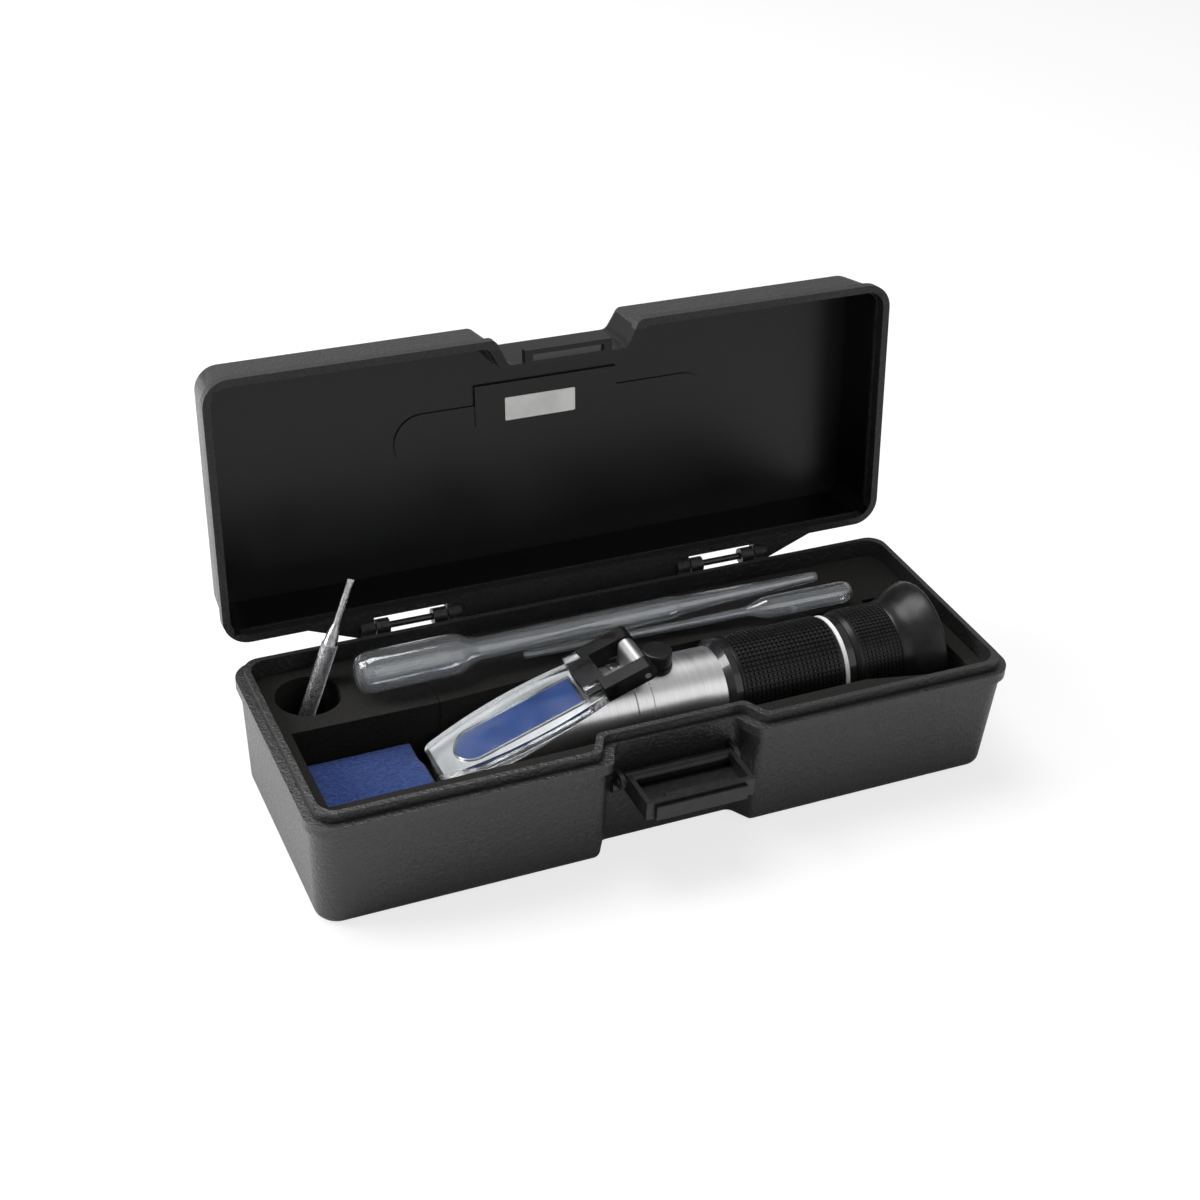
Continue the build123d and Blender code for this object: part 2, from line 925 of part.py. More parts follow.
def reticle_ring():
    """Ring in the barrel's end that carries the reticle."""
    low = reticle_x
    high = reticle_x + reticle_ring_length
    step = low + reticle_ring_length - reticle_thickness
    return turned(
        (low, reticle_radius - lens_shelf),
        (low, barrel_bore),
        (high, barrel_bore),
        (high, reticle_radius),
        (step, reticle_radius),
        (step, reticle_radius - lens_shelf),
    )


def reticle():
    """Glass disc with the scale."""
    high = reticle_x + reticle_ring_length
    return disc(high - reticle_thickness, high, reticle_radius)


# Grip and eyepiece
def front_collar():
    """Dark collar between the bright tube and the grip."""
    bevel = collar_radius - tube_radius
    return turned(
        (tube_right, barrel_radius - bevel),
        (tube_right, tube_radius),
        (tube_right + bevel, collar_radius),
        (collar_right - collar_groove, collar_radius),
        (collar_right - collar_groove, collar_radius - collar_groove),
        (collar_right, collar_radius - collar_groove),
        (collar_right, barrel_radius - bevel),
    )


def inner_barrel():
    """Barrel that joins tube, grip and eyepiece, with the smooth band and the neck."""
    bevel = collar_radius - tube_radius
    neck_end = focus_left + neck_length
    return turned(
        (barrel_left, barrel_bore),
        (barrel_left, tube_bore),
        (tube_right, tube_bore),
        (tube_right, barrel_radius - bevel),
        (collar_right, barrel_radius - bevel),
        (collar_right, barrel_radius),
        (band_left, barrel_radius),
        (band_left, band_radius),
        (neck_end, band_radius),
        (neck_end, barrel_bore),
    )


def grip_sleeve():
    """Grip sleeve; its fine knurl is a surface finish."""
    return turned(
        (collar_right, barrel_radius),
        (collar_right, grip_radius - grip_edge),
        (collar_right + grip_edge, grip_radius),
        (grip_right - grip_edge, grip_radius),
        (grip_right, grip_radius - grip_edge),
        (grip_right, barrel_radius),
    )


def white_ring():
    """Light ring between the grip and the smooth band."""
    return tube(grip_right, band_left, white_ring_radius, barrel_radius)


def lens_tube():
    """Tube of the eyepiece lenses, which slides in the barrel as the focus ring turns."""
    outer = barrel_bore - lens_tube_clearance
    inner = outer - lens_tube_wall
    flange_left = focus_left + neck_length + eyecup_travel_room
    flange_radius = focus_bore - 2 * running_clearance
    return turned(
        (lens_tube_left, inner - lens_shelf),
        (lens_tube_left, outer),
        (flange_left, outer),
        (flange_left, flange_radius),
        (lens_tube_right, flange_radius),
        (lens_tube_right, inner),
        (lens_tube_left + lens_stop, inner),
        (lens_tube_left + lens_stop, inner - lens_shelf),
    )


def lens_bore():
    """Radius of the lenses in the lens tube."""
    return barrel_bore - lens_tube_clearance - lens_tube_wall


def field_lens():
    """Field lens at the front of the lens tube."""
    return lens(lens_tube_left + lens_stop, field_lens_thickness, lens_bore(), lens_bulge / 2)


def eye_lens():
    """Eye lens at the back of the lens tube."""
    low = lens_tube_right - retainer_length - eye_lens_thickness
    return lens(low, eye_lens_thickness, lens_bore(), lens_bulge)


def hollow_of(bulge, radius):
    """How far a lens face has dropped at a radius, with the seat's small clearance."""
    return bulge * (radius / lens_bore()) ** 2 - seat_relief


def lens_spacer():
    """Spacer between the rims of the two lenses, its ends dished to their faces."""
    outer = lens_bore()
    inner = outer - lens_tube_wall
    left = lens_tube_left + lens_stop + field_lens_thickness
    right = lens_tube_right - retainer_length - eye_lens_thickness
    return turned(
        (left - hollow_of(lens_bulge / 2, inner), inner),
        (left - hollow_of(lens_bulge / 2, outer), outer),
        (right + hollow_of(lens_bulge, outer), outer),
        (right + hollow_of(lens_bulge, inner), inner),
    )


def lens_retainer():
    """Threaded ring that holds the lenses in their tube."""
    outer = lens_bore()
    left = lens_tube_right - retainer_length
    return turned(
        (left - hollow_of(lens_bulge, retainer_bore), retainer_bore),
        (left - hollow_of(lens_bulge, outer), outer),
        (lens_tube_right, outer),
        (lens_tube_right, retainer_bore),
    )


def focus_ring():
    """Focus ring; its fine knurl is a surface finish."""
    lip = focus_radius - focus_chamfer
    return turned(
        (focus_left, focus_bore),
        (focus_left + 0.01, lip + 0.2),
        (focus_left + focus_chamfer, focus_radius),
        (focus_right - eyecup_seat, focus_radius),
        (focus_right - eyecup_seat, focus_bore + (focus_radius - focus_bore) / 2),
        (focus_right, focus_bore + (focus_radius - focus_bore) / 2),
        (focus_right, focus_bore),
    )


def eyecup():
    """Soft flared eyecup on the focus ring's end."""
    waist_x = focus_right + eyecup_waist
    rim_x = focus_right + eyecup_length
    seat_radius = focus_bore + (focus_radius - focus_bore) / 2
    inner_waist = eyecup_waist_radius - eyecup_wall
    inner_rim = eyecup_rim_radius - eyecup_wall
    return turned(
        (focus_right - eyecup_seat, seat_radius),
        (focus_right - eyecup_seat, focus_radius),
        (focus_right, focus_radius),
        (waist_x, eyecup_waist_radius),
        (rim_x - eyecup_wall / 2, eyecup_rim_radius),
        (rim_x, eyecup_rim_radius - eyecup_wall / 2),
        (rim_x, inner_rim + eyecup_wall / 4),
        (rim_x - eyecup_wall / 2, inner_rim),
        (waist_x, inner_waist),
        (focus_right, focus_bore),
        (focus_right, seat_radius),
    )


# Cover plate and its hinge
def plate_sketch():
    """Outline of the cover plate: narrow tip, wide belly."""
    tip = along_slope(plate_tip_x)
    belly = along_slope(plate_belly_x)
    end = along_slope(plate_end_x)
    side_low = ThreePointArc(
        (tip, -plate_tip_half), (belly, -plate_belly_half), (end, -plate_neck_half)
    )
    side_high = ThreePointArc(
        (end, plate_neck_half), (belly, plate_belly_half), (tip, plate_tip_half)
    )
    edges = [
        side_low,
        Line((end, -plate_neck_half), (end, plate_neck_half)),
        side_high,
        Line((tip, plate_tip_half), (tip, -plate_tip_half)),
    ]
    plan = make_face(edges)
    tips = plan.vertices().group_by(Axis.X)[0]
    return fillet(tips, plate_corner)


def cover_plate():
    """Clear cover plate with a shallow bed over the prism and two ears."""
    plate = extrude(on_slope(plate_sketch(), 0), -plate_thickness)
    bed = on_slope(window_sketch(window_margin), -plate_thickness)
    plate -= extrude(bed, window_depth)
    left = along_slope(ear_x)
    right = along_slope(plate_end_x)
    middle = (ear_inner + ear_outer) / 2
    for side in (-1, 1):
        ear = Pos((left + right) / 2, side * middle) * Rectangle(
            right - left, ear_outer - ear_inner
        )
        plate += extrude(on_slope(ear, 0), ear_top)
    return plate


def hinge_block():
    """Dark block on the cover plate, with two arms to the hinge pin."""
    nose = along_slope(block_left_x)
    wide = along_slope(block_wide_x)
    gap = along_slope(block_gap_x)
    end = along_slope(block_right_x)
    top = block_rise
    skin = Pos((nose + gap) / 2, 0) * Rectangle(gap - nose, 2 * block_nose_half)
    block = extrude(on_slope(skin, 0), top)
    bridge = Pos((wide + gap) / 2, 0) * Rectangle(gap - wide, 2 * block_half)
    bridge_solid = extrude(on_slope(bridge, top), -block_thickness)
    block += bridge_solid
    middle = (arm_inner + block_half) / 2
    for side in (-1, 1):
        arm = Pos((gap + end) / 2, side * middle) * Rectangle(
            end - gap, block_half - arm_inner
        )
        solid = extrude(on_slope(arm, top), -block_thickness)
        tips = solid.edges().filter_by(Axis.Y).sort_by(Axis.X)[-2:]
        block += fillet(tips, block_thickness * 0.4)
    return block - hinge_pin_bar(pivot_radius)


def hinge_pin_bar(radius):
    """Bar along the cover plate's hinge."""
    return rod(
        (pivot_x, axis_y - block_half, pivot_z), (pivot_x, axis_y + block_half, pivot_z), radius
    )


def pin_sleeve():
    """Dark sleeve on the hinge pin between the arms."""
    start = (pivot_x, axis_y - bracket_half, pivot_z)
    end = (pivot_x, axis_y + bracket_half, pivot_z)
    return rod(start, end, sleeve_radius) - rod(
        start, end, pivot_radius + running_clearance
    )


def hinge_bracket():
    """Steel strip screwed to the head and bent over the pin's sleeve."""
    inner = sleeve_radius + running_clearance
    outer = inner + bracket_thickness
    crown = axis_z + tube_radius
    start = (pivot_x, axis_y - bracket_half, pivot_z)
    end = (pivot_x, axis_y + bracket_half, pivot_z)
    hook = rod(start, end, outer)
    hook &= box(
        (pivot_x - outer, axis_y - bracket_half, pivot_z),
        (pivot_x + outer, axis_y + bracket_half, pivot_z + outer),
    )
    hook += box(
        (pivot_x + inner, axis_y - bracket_half, pivot_z - bracket_lip),
        (pivot_x + outer, axis_y + bracket_half, pivot_z),
    )
    hook += box(
        (pivot_x - outer, axis_y - bracket_half, crown - tube_radius / 2),
        (pivot_x - inner, axis_y + bracket_half, pivot_z),
    )
    foot_right = pivot_x - inner
    foot_left = foot_right - bracket_foot
    foot = disc(foot_left, foot_right, tube_radius + bracket_thickness)
    foot &= box(
        (foot_left, axis_y - bracket_half, axis_z),
        (foot_right, axis_y + bracket_half, crown + tube_radius),
    )
    bracket = hook + foot
    bracket -= rod(start, end, inner)
    bracket -= disc(foot_left - 1, pivot_x + outer, tube_radius)
    for side in (-1, 1):
        bracket -= bracket_screw(side)
    return bracket


def bracket_screw(side):
    """Small countersunk screw that holds the bracket to the head."""
    inner = sleeve_radius + running_clearance
    x = pivot_x - inner - bracket_thickness - (bracket_foot - bracket_thickness) / 2
    lean = degrees(asin(bracket_screw_y / tube_radius)) * side
    top = tube_radius + bracket_thickness + bracket_screw_rise / 2
    neck = top - bracket_screw_rise
    screw = Pos(0, 0, neck + bracket_screw_rise / 2) * Cylinder(
        bracket_screw_head, bracket_screw_rise
    )
    screw += Pos(0, 0, neck - bracket_screw_length / 2) * Cylinder(
        bracket_screw_radius, bracket_screw_length
    )
    return Pos(x, axis_y, axis_z) * Rot(-lean, 0, 0) * screw


def bracket_screws():
    """Both screws of the bracket."""
    return Compound(children=[bracket_screw(-1), bracket_screw(1)])


# Loose kit
def swept_profile(start, end, points):
    """Solid turned about the line from start to end, from (distance, radius) points."""
    start = Vector(*start)
    way = Vector(*end) - start
    frame = Plane(origin=start, z_dir=way)
    corners = [(radius, 0, distance) for distance, radius in points]
    solid = revolve(make_face(Polyline(*corners, close=True)), axis=Axis.Z)
    return frame * solid


def pipette(bulb_end, tip_end, outline_points):
    """Hollow pipette with a closed bulb and an open tip."""
    length = (Vector(*tip_end) - Vector(*bulb_end)).length
    outer = [(min(distance, length), radius) for distance, radius in outline_points]
    inner = [
        (distance, radius - pipette_wall) for distance, radius in reversed(outer[1:])
    ]
    inner[-1] = (outer[1][0] + pipette_wall, inner[-1][1])
    return swept_profile(
        bulb_end, tip_end, [(0, 0)] + outer + inner + [(pipette_wall, 0)]
    )


def pipette_large():
    """Large pipette, its stem lying on the small one's."""
    length = (Vector(*large_tip_end) - Vector(*large_bulb_end)).length
    shoulder = large_bulb_length + large_neck_length + large_stem_length
    dome = large_bulb_radius * 0.45
    return pipette(
        large_bulb_end,
        large_tip_end,
        [
            (0, large_bulb_radius - dome),
            (dome, large_bulb_radius),
            (large_bulb_length, large_bulb_radius),
            (large_bulb_length + large_neck_length, large_stem_radius),
            (shoulder, large_stem_radius),
            (shoulder + large_stem_radius, large_taper_radius),
            (length, large_tip_radius),
        ],
    )


def pipette_small():
    """Small pipette, its tip under the large one's stem."""
    length = (Vector(*small_tip_end) - Vector(*small_bulb_end)).length
    dome = small_bulb_radius * 0.45
    neck = small_bulb_length + small_neck_length
    return pipette(
        small_bulb_end,
        small_tip_end,
        [
            (0, small_bulb_radius - dome),
            (dome, small_bulb_radius),
            (small_bulb_length, small_bulb_radius),
            (neck, small_stem_radius),
            (length, small_tip_radius),
        ],
    )


def screwdriver_handle():
    """Steel handle; its fine knurl is a surface finish."""
    handle = rod(
        driver_point(driver_length), driver_point(driver_cone_end), driver_handle_radius
    )
    frame = Plane(origin=driver_point(driver_cone_end), z_dir=driver_way())
    handle += frame * Cone(
        driver_handle_radius,
        driver_shaft_radius + 0.25,
        driver_cone_end - driver_cone_start,
        align=(Align.CENTER, Align.CENTER, Align.MIN),
    )
    socket_end = driver_cone_start + driver_socket
    return handle - rod(
        driver_point(socket_end), driver_point(driver_cone_start), driver_shaft_radius
    )


def screwdriver_blade():
    """Round shaft with a flat tip, set in the handle's socket."""
    socket_end = driver_cone_start + driver_socket
    shaft = rod(
        driver_point(socket_end), driver_point(driver_blade_length), driver_shaft_radius
    )
    frame = Plane(
        origin=driver_point(driver_blade_length), x_dir=(0, 1, 0), z_dir=driver_way()
    )
    root = frame * Circle(driver_shaft_radius)
    tip = frame * Pos(0, 0, driver_blade_length) * Rectangle(
        driver_blade_thickness, driver_blade_width
    )
    return shaft + loft([root, tip])


def cleaning_cloth():
    """Folded cloth in the groove's end, with soft edges."""
    cloth = box(
        (cloth_left, cloth_front, groove_floor), (cloth_right, cloth_back, cloth_top)
    )
    return fillet(cloth.edges().group_by(Axis.Z)[-1], cloth_edge)


nodes = {
    "case_base": case_base(),
    "case_lid": case_lid(),
    "hinge_pin_left": opened(hinge_pin(-1)),
    "hinge_pin_right": opened(hinge_pin(1)),
    "lid_label": lid_label(),
    "case_latch": case_latch(),
    "latch_pin": latch_pin(),
    "foam_insert": foam_insert(),
    "prism_head": prism_head(),
    "main_prism": main_prism(),
    "prism_seal": prism_seal(),
    "prism_clamp": prism_clamp(),
    "body_tube": body_tube(),
    "calibration_screw": calibration_screw(),
    "calibration_cap": calibration_cap(),
    "lens_cell": lens_cell(),
    "objective_lens": objective_lens(),
    "cell_spring": cell_spring(),
    "reticle_ring": reticle_ring(),
    "reticle": reticle(),
    "front_collar": front_collar(),
    "inner_barrel": inner_barrel(),
    "grip_sleeve": grip_sleeve(),
    "white_ring": white_ring(),
    "lens_tube": lens_tube(),
    "field_lens": field_lens(),
    "eye_lens": eye_lens(),
    "lens_spacer": lens_spacer(),
    "lens_retainer": lens_retainer(),
    "focus_ring": focus_ring(),
    "eyecup": eyecup(),
    "hinge_bracket": hinge_bracket(),
    "bracket_screws": bracket_screws(),
    "plate_hinge_pin": hinge_pin_bar(pivot_radius),
    "pin_sleeve": pin_sleeve(),
    "hinge_block": hinge_block(),
    "cover_plate": cover_plate(),
    "pipette_large": pipette_large(),
    "pipette_small": pipette_small(),
    "screwdriver_handle": screwdriver_handle(),
    "screwdriver_blade": screwdriver_blade(),
    "cleaning_cloth": cleaning_cloth(),
}

os.makedirs("parts", exist_ok=True)
for name, solid in nodes.items():
    export_step(solid, "parts/" + name + ".step")
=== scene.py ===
# %% [markdown]
# # A handheld refractometer kit in its case
# The case, its lid, the foam and every part of the instrument come from the imported frame, at
# their real size in metres. This lesson places the camera, gives each node its finish, and
# models what the frame leaves plain: the knurled sleeves, the screwdriver's handle,
# the soft eyecup, the blown pipettes and the folded cloth. It ends with the lights, the floor
# and the world.

# %% Load the frame
import json
import math
import bpy
from mathutils import Matrix, Vector

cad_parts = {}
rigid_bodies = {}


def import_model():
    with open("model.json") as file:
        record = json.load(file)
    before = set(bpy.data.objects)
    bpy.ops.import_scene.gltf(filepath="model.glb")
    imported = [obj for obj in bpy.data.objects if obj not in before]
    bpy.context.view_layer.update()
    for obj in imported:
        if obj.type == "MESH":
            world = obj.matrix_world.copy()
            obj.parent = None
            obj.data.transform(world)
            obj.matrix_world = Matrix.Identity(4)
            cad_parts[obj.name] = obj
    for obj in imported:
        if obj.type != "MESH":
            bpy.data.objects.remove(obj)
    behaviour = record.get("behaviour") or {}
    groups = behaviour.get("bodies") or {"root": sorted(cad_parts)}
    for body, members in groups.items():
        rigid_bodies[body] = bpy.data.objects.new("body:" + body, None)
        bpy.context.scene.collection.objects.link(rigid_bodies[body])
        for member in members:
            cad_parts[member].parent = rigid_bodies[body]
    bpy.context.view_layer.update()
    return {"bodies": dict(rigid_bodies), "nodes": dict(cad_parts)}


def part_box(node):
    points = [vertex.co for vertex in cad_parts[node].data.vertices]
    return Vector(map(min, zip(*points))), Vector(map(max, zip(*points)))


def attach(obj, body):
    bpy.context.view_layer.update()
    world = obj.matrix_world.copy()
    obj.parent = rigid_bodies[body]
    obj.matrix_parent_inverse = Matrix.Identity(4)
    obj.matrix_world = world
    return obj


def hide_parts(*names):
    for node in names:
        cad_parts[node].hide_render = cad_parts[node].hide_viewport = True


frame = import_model()
bodies = frame["bodies"]
nodes = frame["nodes"]
MM = 0.001
print("nodes:", len(nodes), "bodies:", sorted(bodies))

# %% [markdown]
# ## Camera
# The photograph looks down at the open case from its front left, with a slightly tilted
# camera. A long lens keeps the case's edges almost parallel. The camera is turned round three
# axes in order: the heading, the tilt down, and the small roll.

# %% Place the camera
HEADING = 25.58
TILT_DOWN = 33.053
ROLL = 3.309
CAMERA_PLACE = Vector((-204.489, -406.382, 352.076)) * MM
LENS = 60.17
SENSOR_WIDTH = 36
NEAREST_SEEN = 0.01

camera_data = bpy.data.cameras.new("camera")
camera_data.lens = LENS
camera_data.sensor_width = SENSOR_WIDTH
camera_data.clip_start = NEAREST_SEEN
camera = bpy.data.objects.new("camera", camera_data)
bpy.context.scene.collection.objects.link(camera)
turn = Matrix.Rotation(-math.radians(HEADING), 4, "Z")
turn = turn @ Matrix.Rotation(math.radians(90 - TILT_DOWN), 4, "X")
turn = turn @ Matrix.Rotation(math.radians(ROLL), 4, "Z")
camera.matrix_world = Matrix.Translation(CAMERA_PLACE) @ turn
bpy.context.scene.camera = camera
print("camera at", tuple(round(v, 3) for v in CAMERA_PLACE))

# %% [markdown]
# ## Tools for finishes
# Every finish starts from one shader and gets its life from noise: a mottle that varies the
# colour a little, a grain that raises the surface, and a haze that varies the gloss. All of
# them read Object coordinates, so a pattern stays on its piece when the piece moves. Small
# helpers keep each finish to a few readable lines.

# %% Helpers for finishes
METAL_SPECULAR = 0.5
CLEAR_SPECULAR = 0.5
NOISE_LOW = 0.3
NOISE_HIGH = 0.7
UNSTRETCHED = (1, 1, 1)


def new_finish(name, colour, roughness, metallic=0.0, specular=0.3):
    """A material with one Principled shader, and its main values set."""
    material = bpy.data.materials.new(name)
    material.use_nodes = True
    tune(material, "Base Color", (*colour, 1))
    tune(material, "Roughness", roughness)
    tune(material, "Metallic", metallic)
    tune(material, "Specular IOR Level", METAL_SPECULAR if metallic else specular)
    return material


def shader_of(material):
    """The Principled shader of a finish."""
    return material.node_tree.nodes["Principled BSDF"]


def tune(material, socket, value):
    """Sets one value of a finish's shader."""
    shader_of(material).inputs[socket].default_value = value


def noise(material, scale, detail, stretch):
    """A noise texture on Object coordinates; scale counts bumps per metre."""
    tree = material.node_tree
    place = tree.nodes.new("ShaderNodeTexCoord")
    mapping = tree.nodes.new("ShaderNodeMapping")
    mapping.inputs["Scale"].default_value = stretch
    texture = tree.nodes.new("ShaderNodeTexNoise")
    texture.inputs["Scale"].default_value = scale
    texture.inputs["Detail"].default_value = detail
    tree.links.new(place.outputs["Object"], mapping.inputs["Vector"])
    tree.links.new(mapping.outputs["Vector"], texture.inputs["Vector"])
    return texture


def mottle(material, dark, light, scale, low=0.35, high=0.65, stretch=UNSTRETCHED):
    """Varies the colour between two tones."""
    tree = material.node_tree
    texture = noise(material, scale, 5.0, stretch)
    ramp = tree.nodes.new("ShaderNodeValToRGB")
    ramp.color_ramp.elements[0].position = low
    ramp.color_ramp.elements[0].color = (*dark, 1)
    ramp.color_ramp.elements[1].position = high
    ramp.color_ramp.elements[1].color = (*light, 1)
    tree.links.new(texture.outputs["Fac"], ramp.inputs["Fac"])
    tree.links.new(ramp.outputs["Color"], shader_of(material).inputs["Base Color"])


def haze(material, low, high, scale, stretch=UNSTRETCHED):
    """Varies the roughness between two values."""
    tree = material.node_tree
    texture = noise(material, scale, 3.0, stretch)
    spread = tree.nodes.new("ShaderNodeMapRange")
    spread.inputs["From Min"].default_value = NOISE_LOW
    spread.inputs["From Max"].default_value = NOISE_HIGH
    spread.inputs["To Min"].default_value = low
    spread.inputs["To Max"].default_value = high
    tree.links.new(texture.outputs["Fac"], spread.inputs["Value"])
    tree.links.new(spread.outputs["Result"], shader_of(material).inputs["Roughness"])


def grain(material, scale, height, strength=1.0, stretch=UNSTRETCHED, detail=2.0):
    """Raises the surface with a fine noise; height is in metres."""
    tree = material.node_tree
    texture = noise(material, scale, detail, stretch)
    bump = tree.nodes.new("ShaderNodeBump")
    bump.inputs["Strength"].default_value = strength
    bump.inputs["Distance"].default_value = height
    tree.links.new(texture.outputs["Fac"], bump.inputs["Height"])
    tree.links.new(bump.outputs["Normal"], shader_of(material).inputs["Normal"])


def dress(piece, material):
    """Makes a finish the only one of a piece."""
    piece.data.materials.clear()
    piece.data.materials.append(material)


def wear(material, *node_names):
    """Gives frame nodes their finish."""
    for node_name in node_names:
        dress(nodes[node_name], material)


# %% [markdown]
# ## Case plastic
# The outside of such a case is moulded against a spark-eroded tool, which leaves a fine,
# sharp grain that glitters where light grazes it. The base and the lid share that plastic.
# The inside of the lid is smoother and darker, so the lid has a material of its own, which a
# mask changes there.

# %% Case finish
def moulded(name, specular):
    """The plastic of the case, with its mottle, its haze and its coarse grain."""
    material = new_finish(name, (0.016, 0.016, 0.0165), 0.45, specular=specular)
    mottle(material, (0.013, 0.013, 0.0135), (0.02, 0.02, 0.0205), 1600)
    haze(material, 0.36, 0.5, 2200)
    grain(material, 1100, 0.00034)
    return material


case_plastic = moulded("case_plastic", 0.45)
wear(case_plastic, "case_base")

# %% [markdown]
# ## Lid plastic
# The frame has the lid open. The mask turns each place back to where it is on the closed lid,
# where the inside is a plain box: within the ends, the sides and the ceiling. Inside that box
# the colour is deeper, the gloss is higher, and the grain is almost gone.

# %% Lid finish
LID_HINGE = Vector((0, 41.56, 34.87)) * MM
LID_OPEN = math.radians(96.96)
LID_INSIDE_HALF = 99.6 * MM
LID_INSIDE_TOP = 52.3 * MM
LID_INSIDE_BACK = 35.3 * MM
LID_INSIDE_FRONT = -35.3 * MM
INSIDE_COLOUR = (0.0022, 0.0022, 0.0023, 1)
INSIDE_ROUGHNESS = 0.3
INSIDE_GRAIN = 0.06
OUTSIDE_GRAIN = 0.9
MIX_SOCKETS = {"RGBA": (6, 7, 2), "FLOAT": (2, 3, 0)}


def limit(material, value, kind, bound):
    """One where a value is on the wanted side of a bound, and nought elsewhere."""
    test = material.node_tree.nodes.new("ShaderNodeMath")
    test.operation = kind
    material.node_tree.links.new(value, test.inputs[0])
    test.inputs[1].default_value = bound
    return test.outputs["Value"]


def both(material, first, second):
    """The product of two masks."""
    product = material.node_tree.nodes.new("ShaderNodeMath")
    product.operation = "MULTIPLY"
    material.node_tree.links.new(first, product.inputs[0])
    material.node_tree.links.new(second, product.inputs[1])
    return product.outputs["Value"]


def inside_of_lid(material):
    """A mask that is one on the smooth inside of the lid, whose place is read closed."""
    tree = material.node_tree
    place = tree.nodes.new("ShaderNodeTexCoord")
    centre = tree.nodes.new("ShaderNodeMapping")
    centre.inputs["Location"].default_value = -LID_HINGE
    closed = tree.nodes.new("ShaderNodeMapping")
    closed.inputs["Rotation"].default_value = (LID_OPEN, 0, 0)
    closed.inputs["Location"].default_value = LID_HINGE
    split = tree.nodes.new("ShaderNodeSeparateXYZ")
    tree.links.new(place.outputs["Object"], centre.inputs["Vector"])
    tree.links.new(centre.outputs["Vector"], closed.inputs["Vector"])
    tree.links.new(closed.outputs["Vector"], split.inputs["Vector"])
    mask = limit(material, split.outputs["X"], "LESS_THAN", LID_INSIDE_HALF)
    for axis, kind, bound in (
        ("X", "GREATER_THAN", -LID_INSIDE_HALF),
        ("Y", "LESS_THAN", LID_INSIDE_BACK),
        ("Y", "GREATER_THAN", LID_INSIDE_FRONT),
        ("Z", "LESS_THAN", LID_INSIDE_TOP),
    ):
        mask = both(material, mask, limit(material, split.outputs[axis], kind, bound))
    return mask


def change_inside(material, mask, socket, kind, value):
    """Gives a socket of the finish another value where the mask is one."""
    tree = material.node_tree
    target = shader_of(material).inputs[socket]
    outside = target.links[0].from_socket
    mix = tree.nodes.new("ShaderNodeMix")
    mix.data_type = kind
    first, second, result = MIX_SOCKETS[kind]
    tree.links.new(mask, mix.inputs[0])
    tree.links.new(outside, mix.inputs[first])
    mix.inputs[second].default_value = value
    tree.links.new(mix.outputs[result], target)


def calm_inside(material, mask):
    """Lets the grain of the finish almost vanish where the mask is one."""
    tree = material.node_tree
    bump = shader_of(material).inputs["Normal"].links[0].from_node
    calm = tree.nodes.new("ShaderNodeMapRange")
    calm.inputs["To Min"].default_value = OUTSIDE_GRAIN
    calm.inputs["To Max"].default_value = INSIDE_GRAIN
    tree.links.new(mask, calm.inputs["Value"])
    tree.links.new(calm.outputs["Result"], bump.inputs["Strength"])


lid_plastic = moulded("lid_plastic", 0.3)
lid_mask = inside_of_lid(lid_plastic)
change_inside(lid_plastic, lid_mask, "Base Color", "RGBA", INSIDE_COLOUR)
change_inside(lid_plastic, lid_mask, "Roughness", "FLOAT", INSIDE_ROUGHNESS)
calm_inside(lid_plastic, lid_mask)
wear(lid_plastic, "case_lid")

# %% [markdown]
# ## Latch, foam and label
# The latch is a smoother moulding than the case. The foam is matt, with a skin of small cells,
# and the label is a plain white film.

# %% Latch, foam and label finishes
latch_plastic = new_finish("latch_plastic", (0.008, 0.008, 0.0085), 0.34)
mottle(latch_plastic, (0.006, 0.006, 0.0065), (0.011, 0.011, 0.0115), 500)
grain(latch_plastic, 1600, 0.00004, 0.5)
wear(latch_plastic, "case_latch")

foam_skin = new_finish("foam_skin", (0.012, 0.0116, 0.0108), 0.92, specular=0.15)
mottle(foam_skin, (0.0095, 0.0092, 0.0085), (0.0145, 0.014, 0.013), 1400)
grain(foam_skin, 3200, 0.0001, 0.8, detail=5.0)
wear(foam_skin, "foam_insert")

label_film = new_finish("label_film", (0.78, 0.78, 0.76), 0.55)
mottle(label_film, (0.72, 0.72, 0.7), (0.84, 0.84, 0.82), 120)
wear(label_film, "lid_label")

# %% [markdown]
# ## Metals
# The tube and prism head are satin plated: turned on a lathe, so the fine marks run round the
# tube. Noise that is squeezed along the tube's axis gives those rings. The screws, the latch's
# pin, the plate's pin and the bent bracket are plain steel. The inner tubes and the pins of
# the lid are black, and the lens cell is brass.

# %% Metal finishes
ROUND_THE_TUBE = (40, 1, 1)
satin_metal = new_finish("satin_metal", (0.72, 0.72, 0.73), 0.33, 1.0)
mottle(satin_metal, (0.68, 0.68, 0.69), (0.76, 0.76, 0.77), 70, stretch=ROUND_THE_TUBE)
haze(satin_metal, 0.29, 0.38, 60, stretch=ROUND_THE_TUBE)
grain(satin_metal, 70, 0.0000012, 0.25, stretch=ROUND_THE_TUBE)
wear(satin_metal, "prism_head", "body_tube")

black_metal = new_finish("black_metal", (0.014, 0.014, 0.015), 0.24)
mottle(black_metal, (0.010, 0.010, 0.011), (0.018, 0.018, 0.019), 300)
haze(black_metal, 0.17, 0.3, 200, stretch=ROUND_THE_TUBE)
tune(black_metal, "Coat Weight", 0.4)
wear(
    black_metal, "inner_barrel", "front_collar", "lens_tube", "lens_retainer",
    "reticle_ring", "prism_clamp", "lens_spacer", "hinge_pin_left", "hinge_pin_right",
)

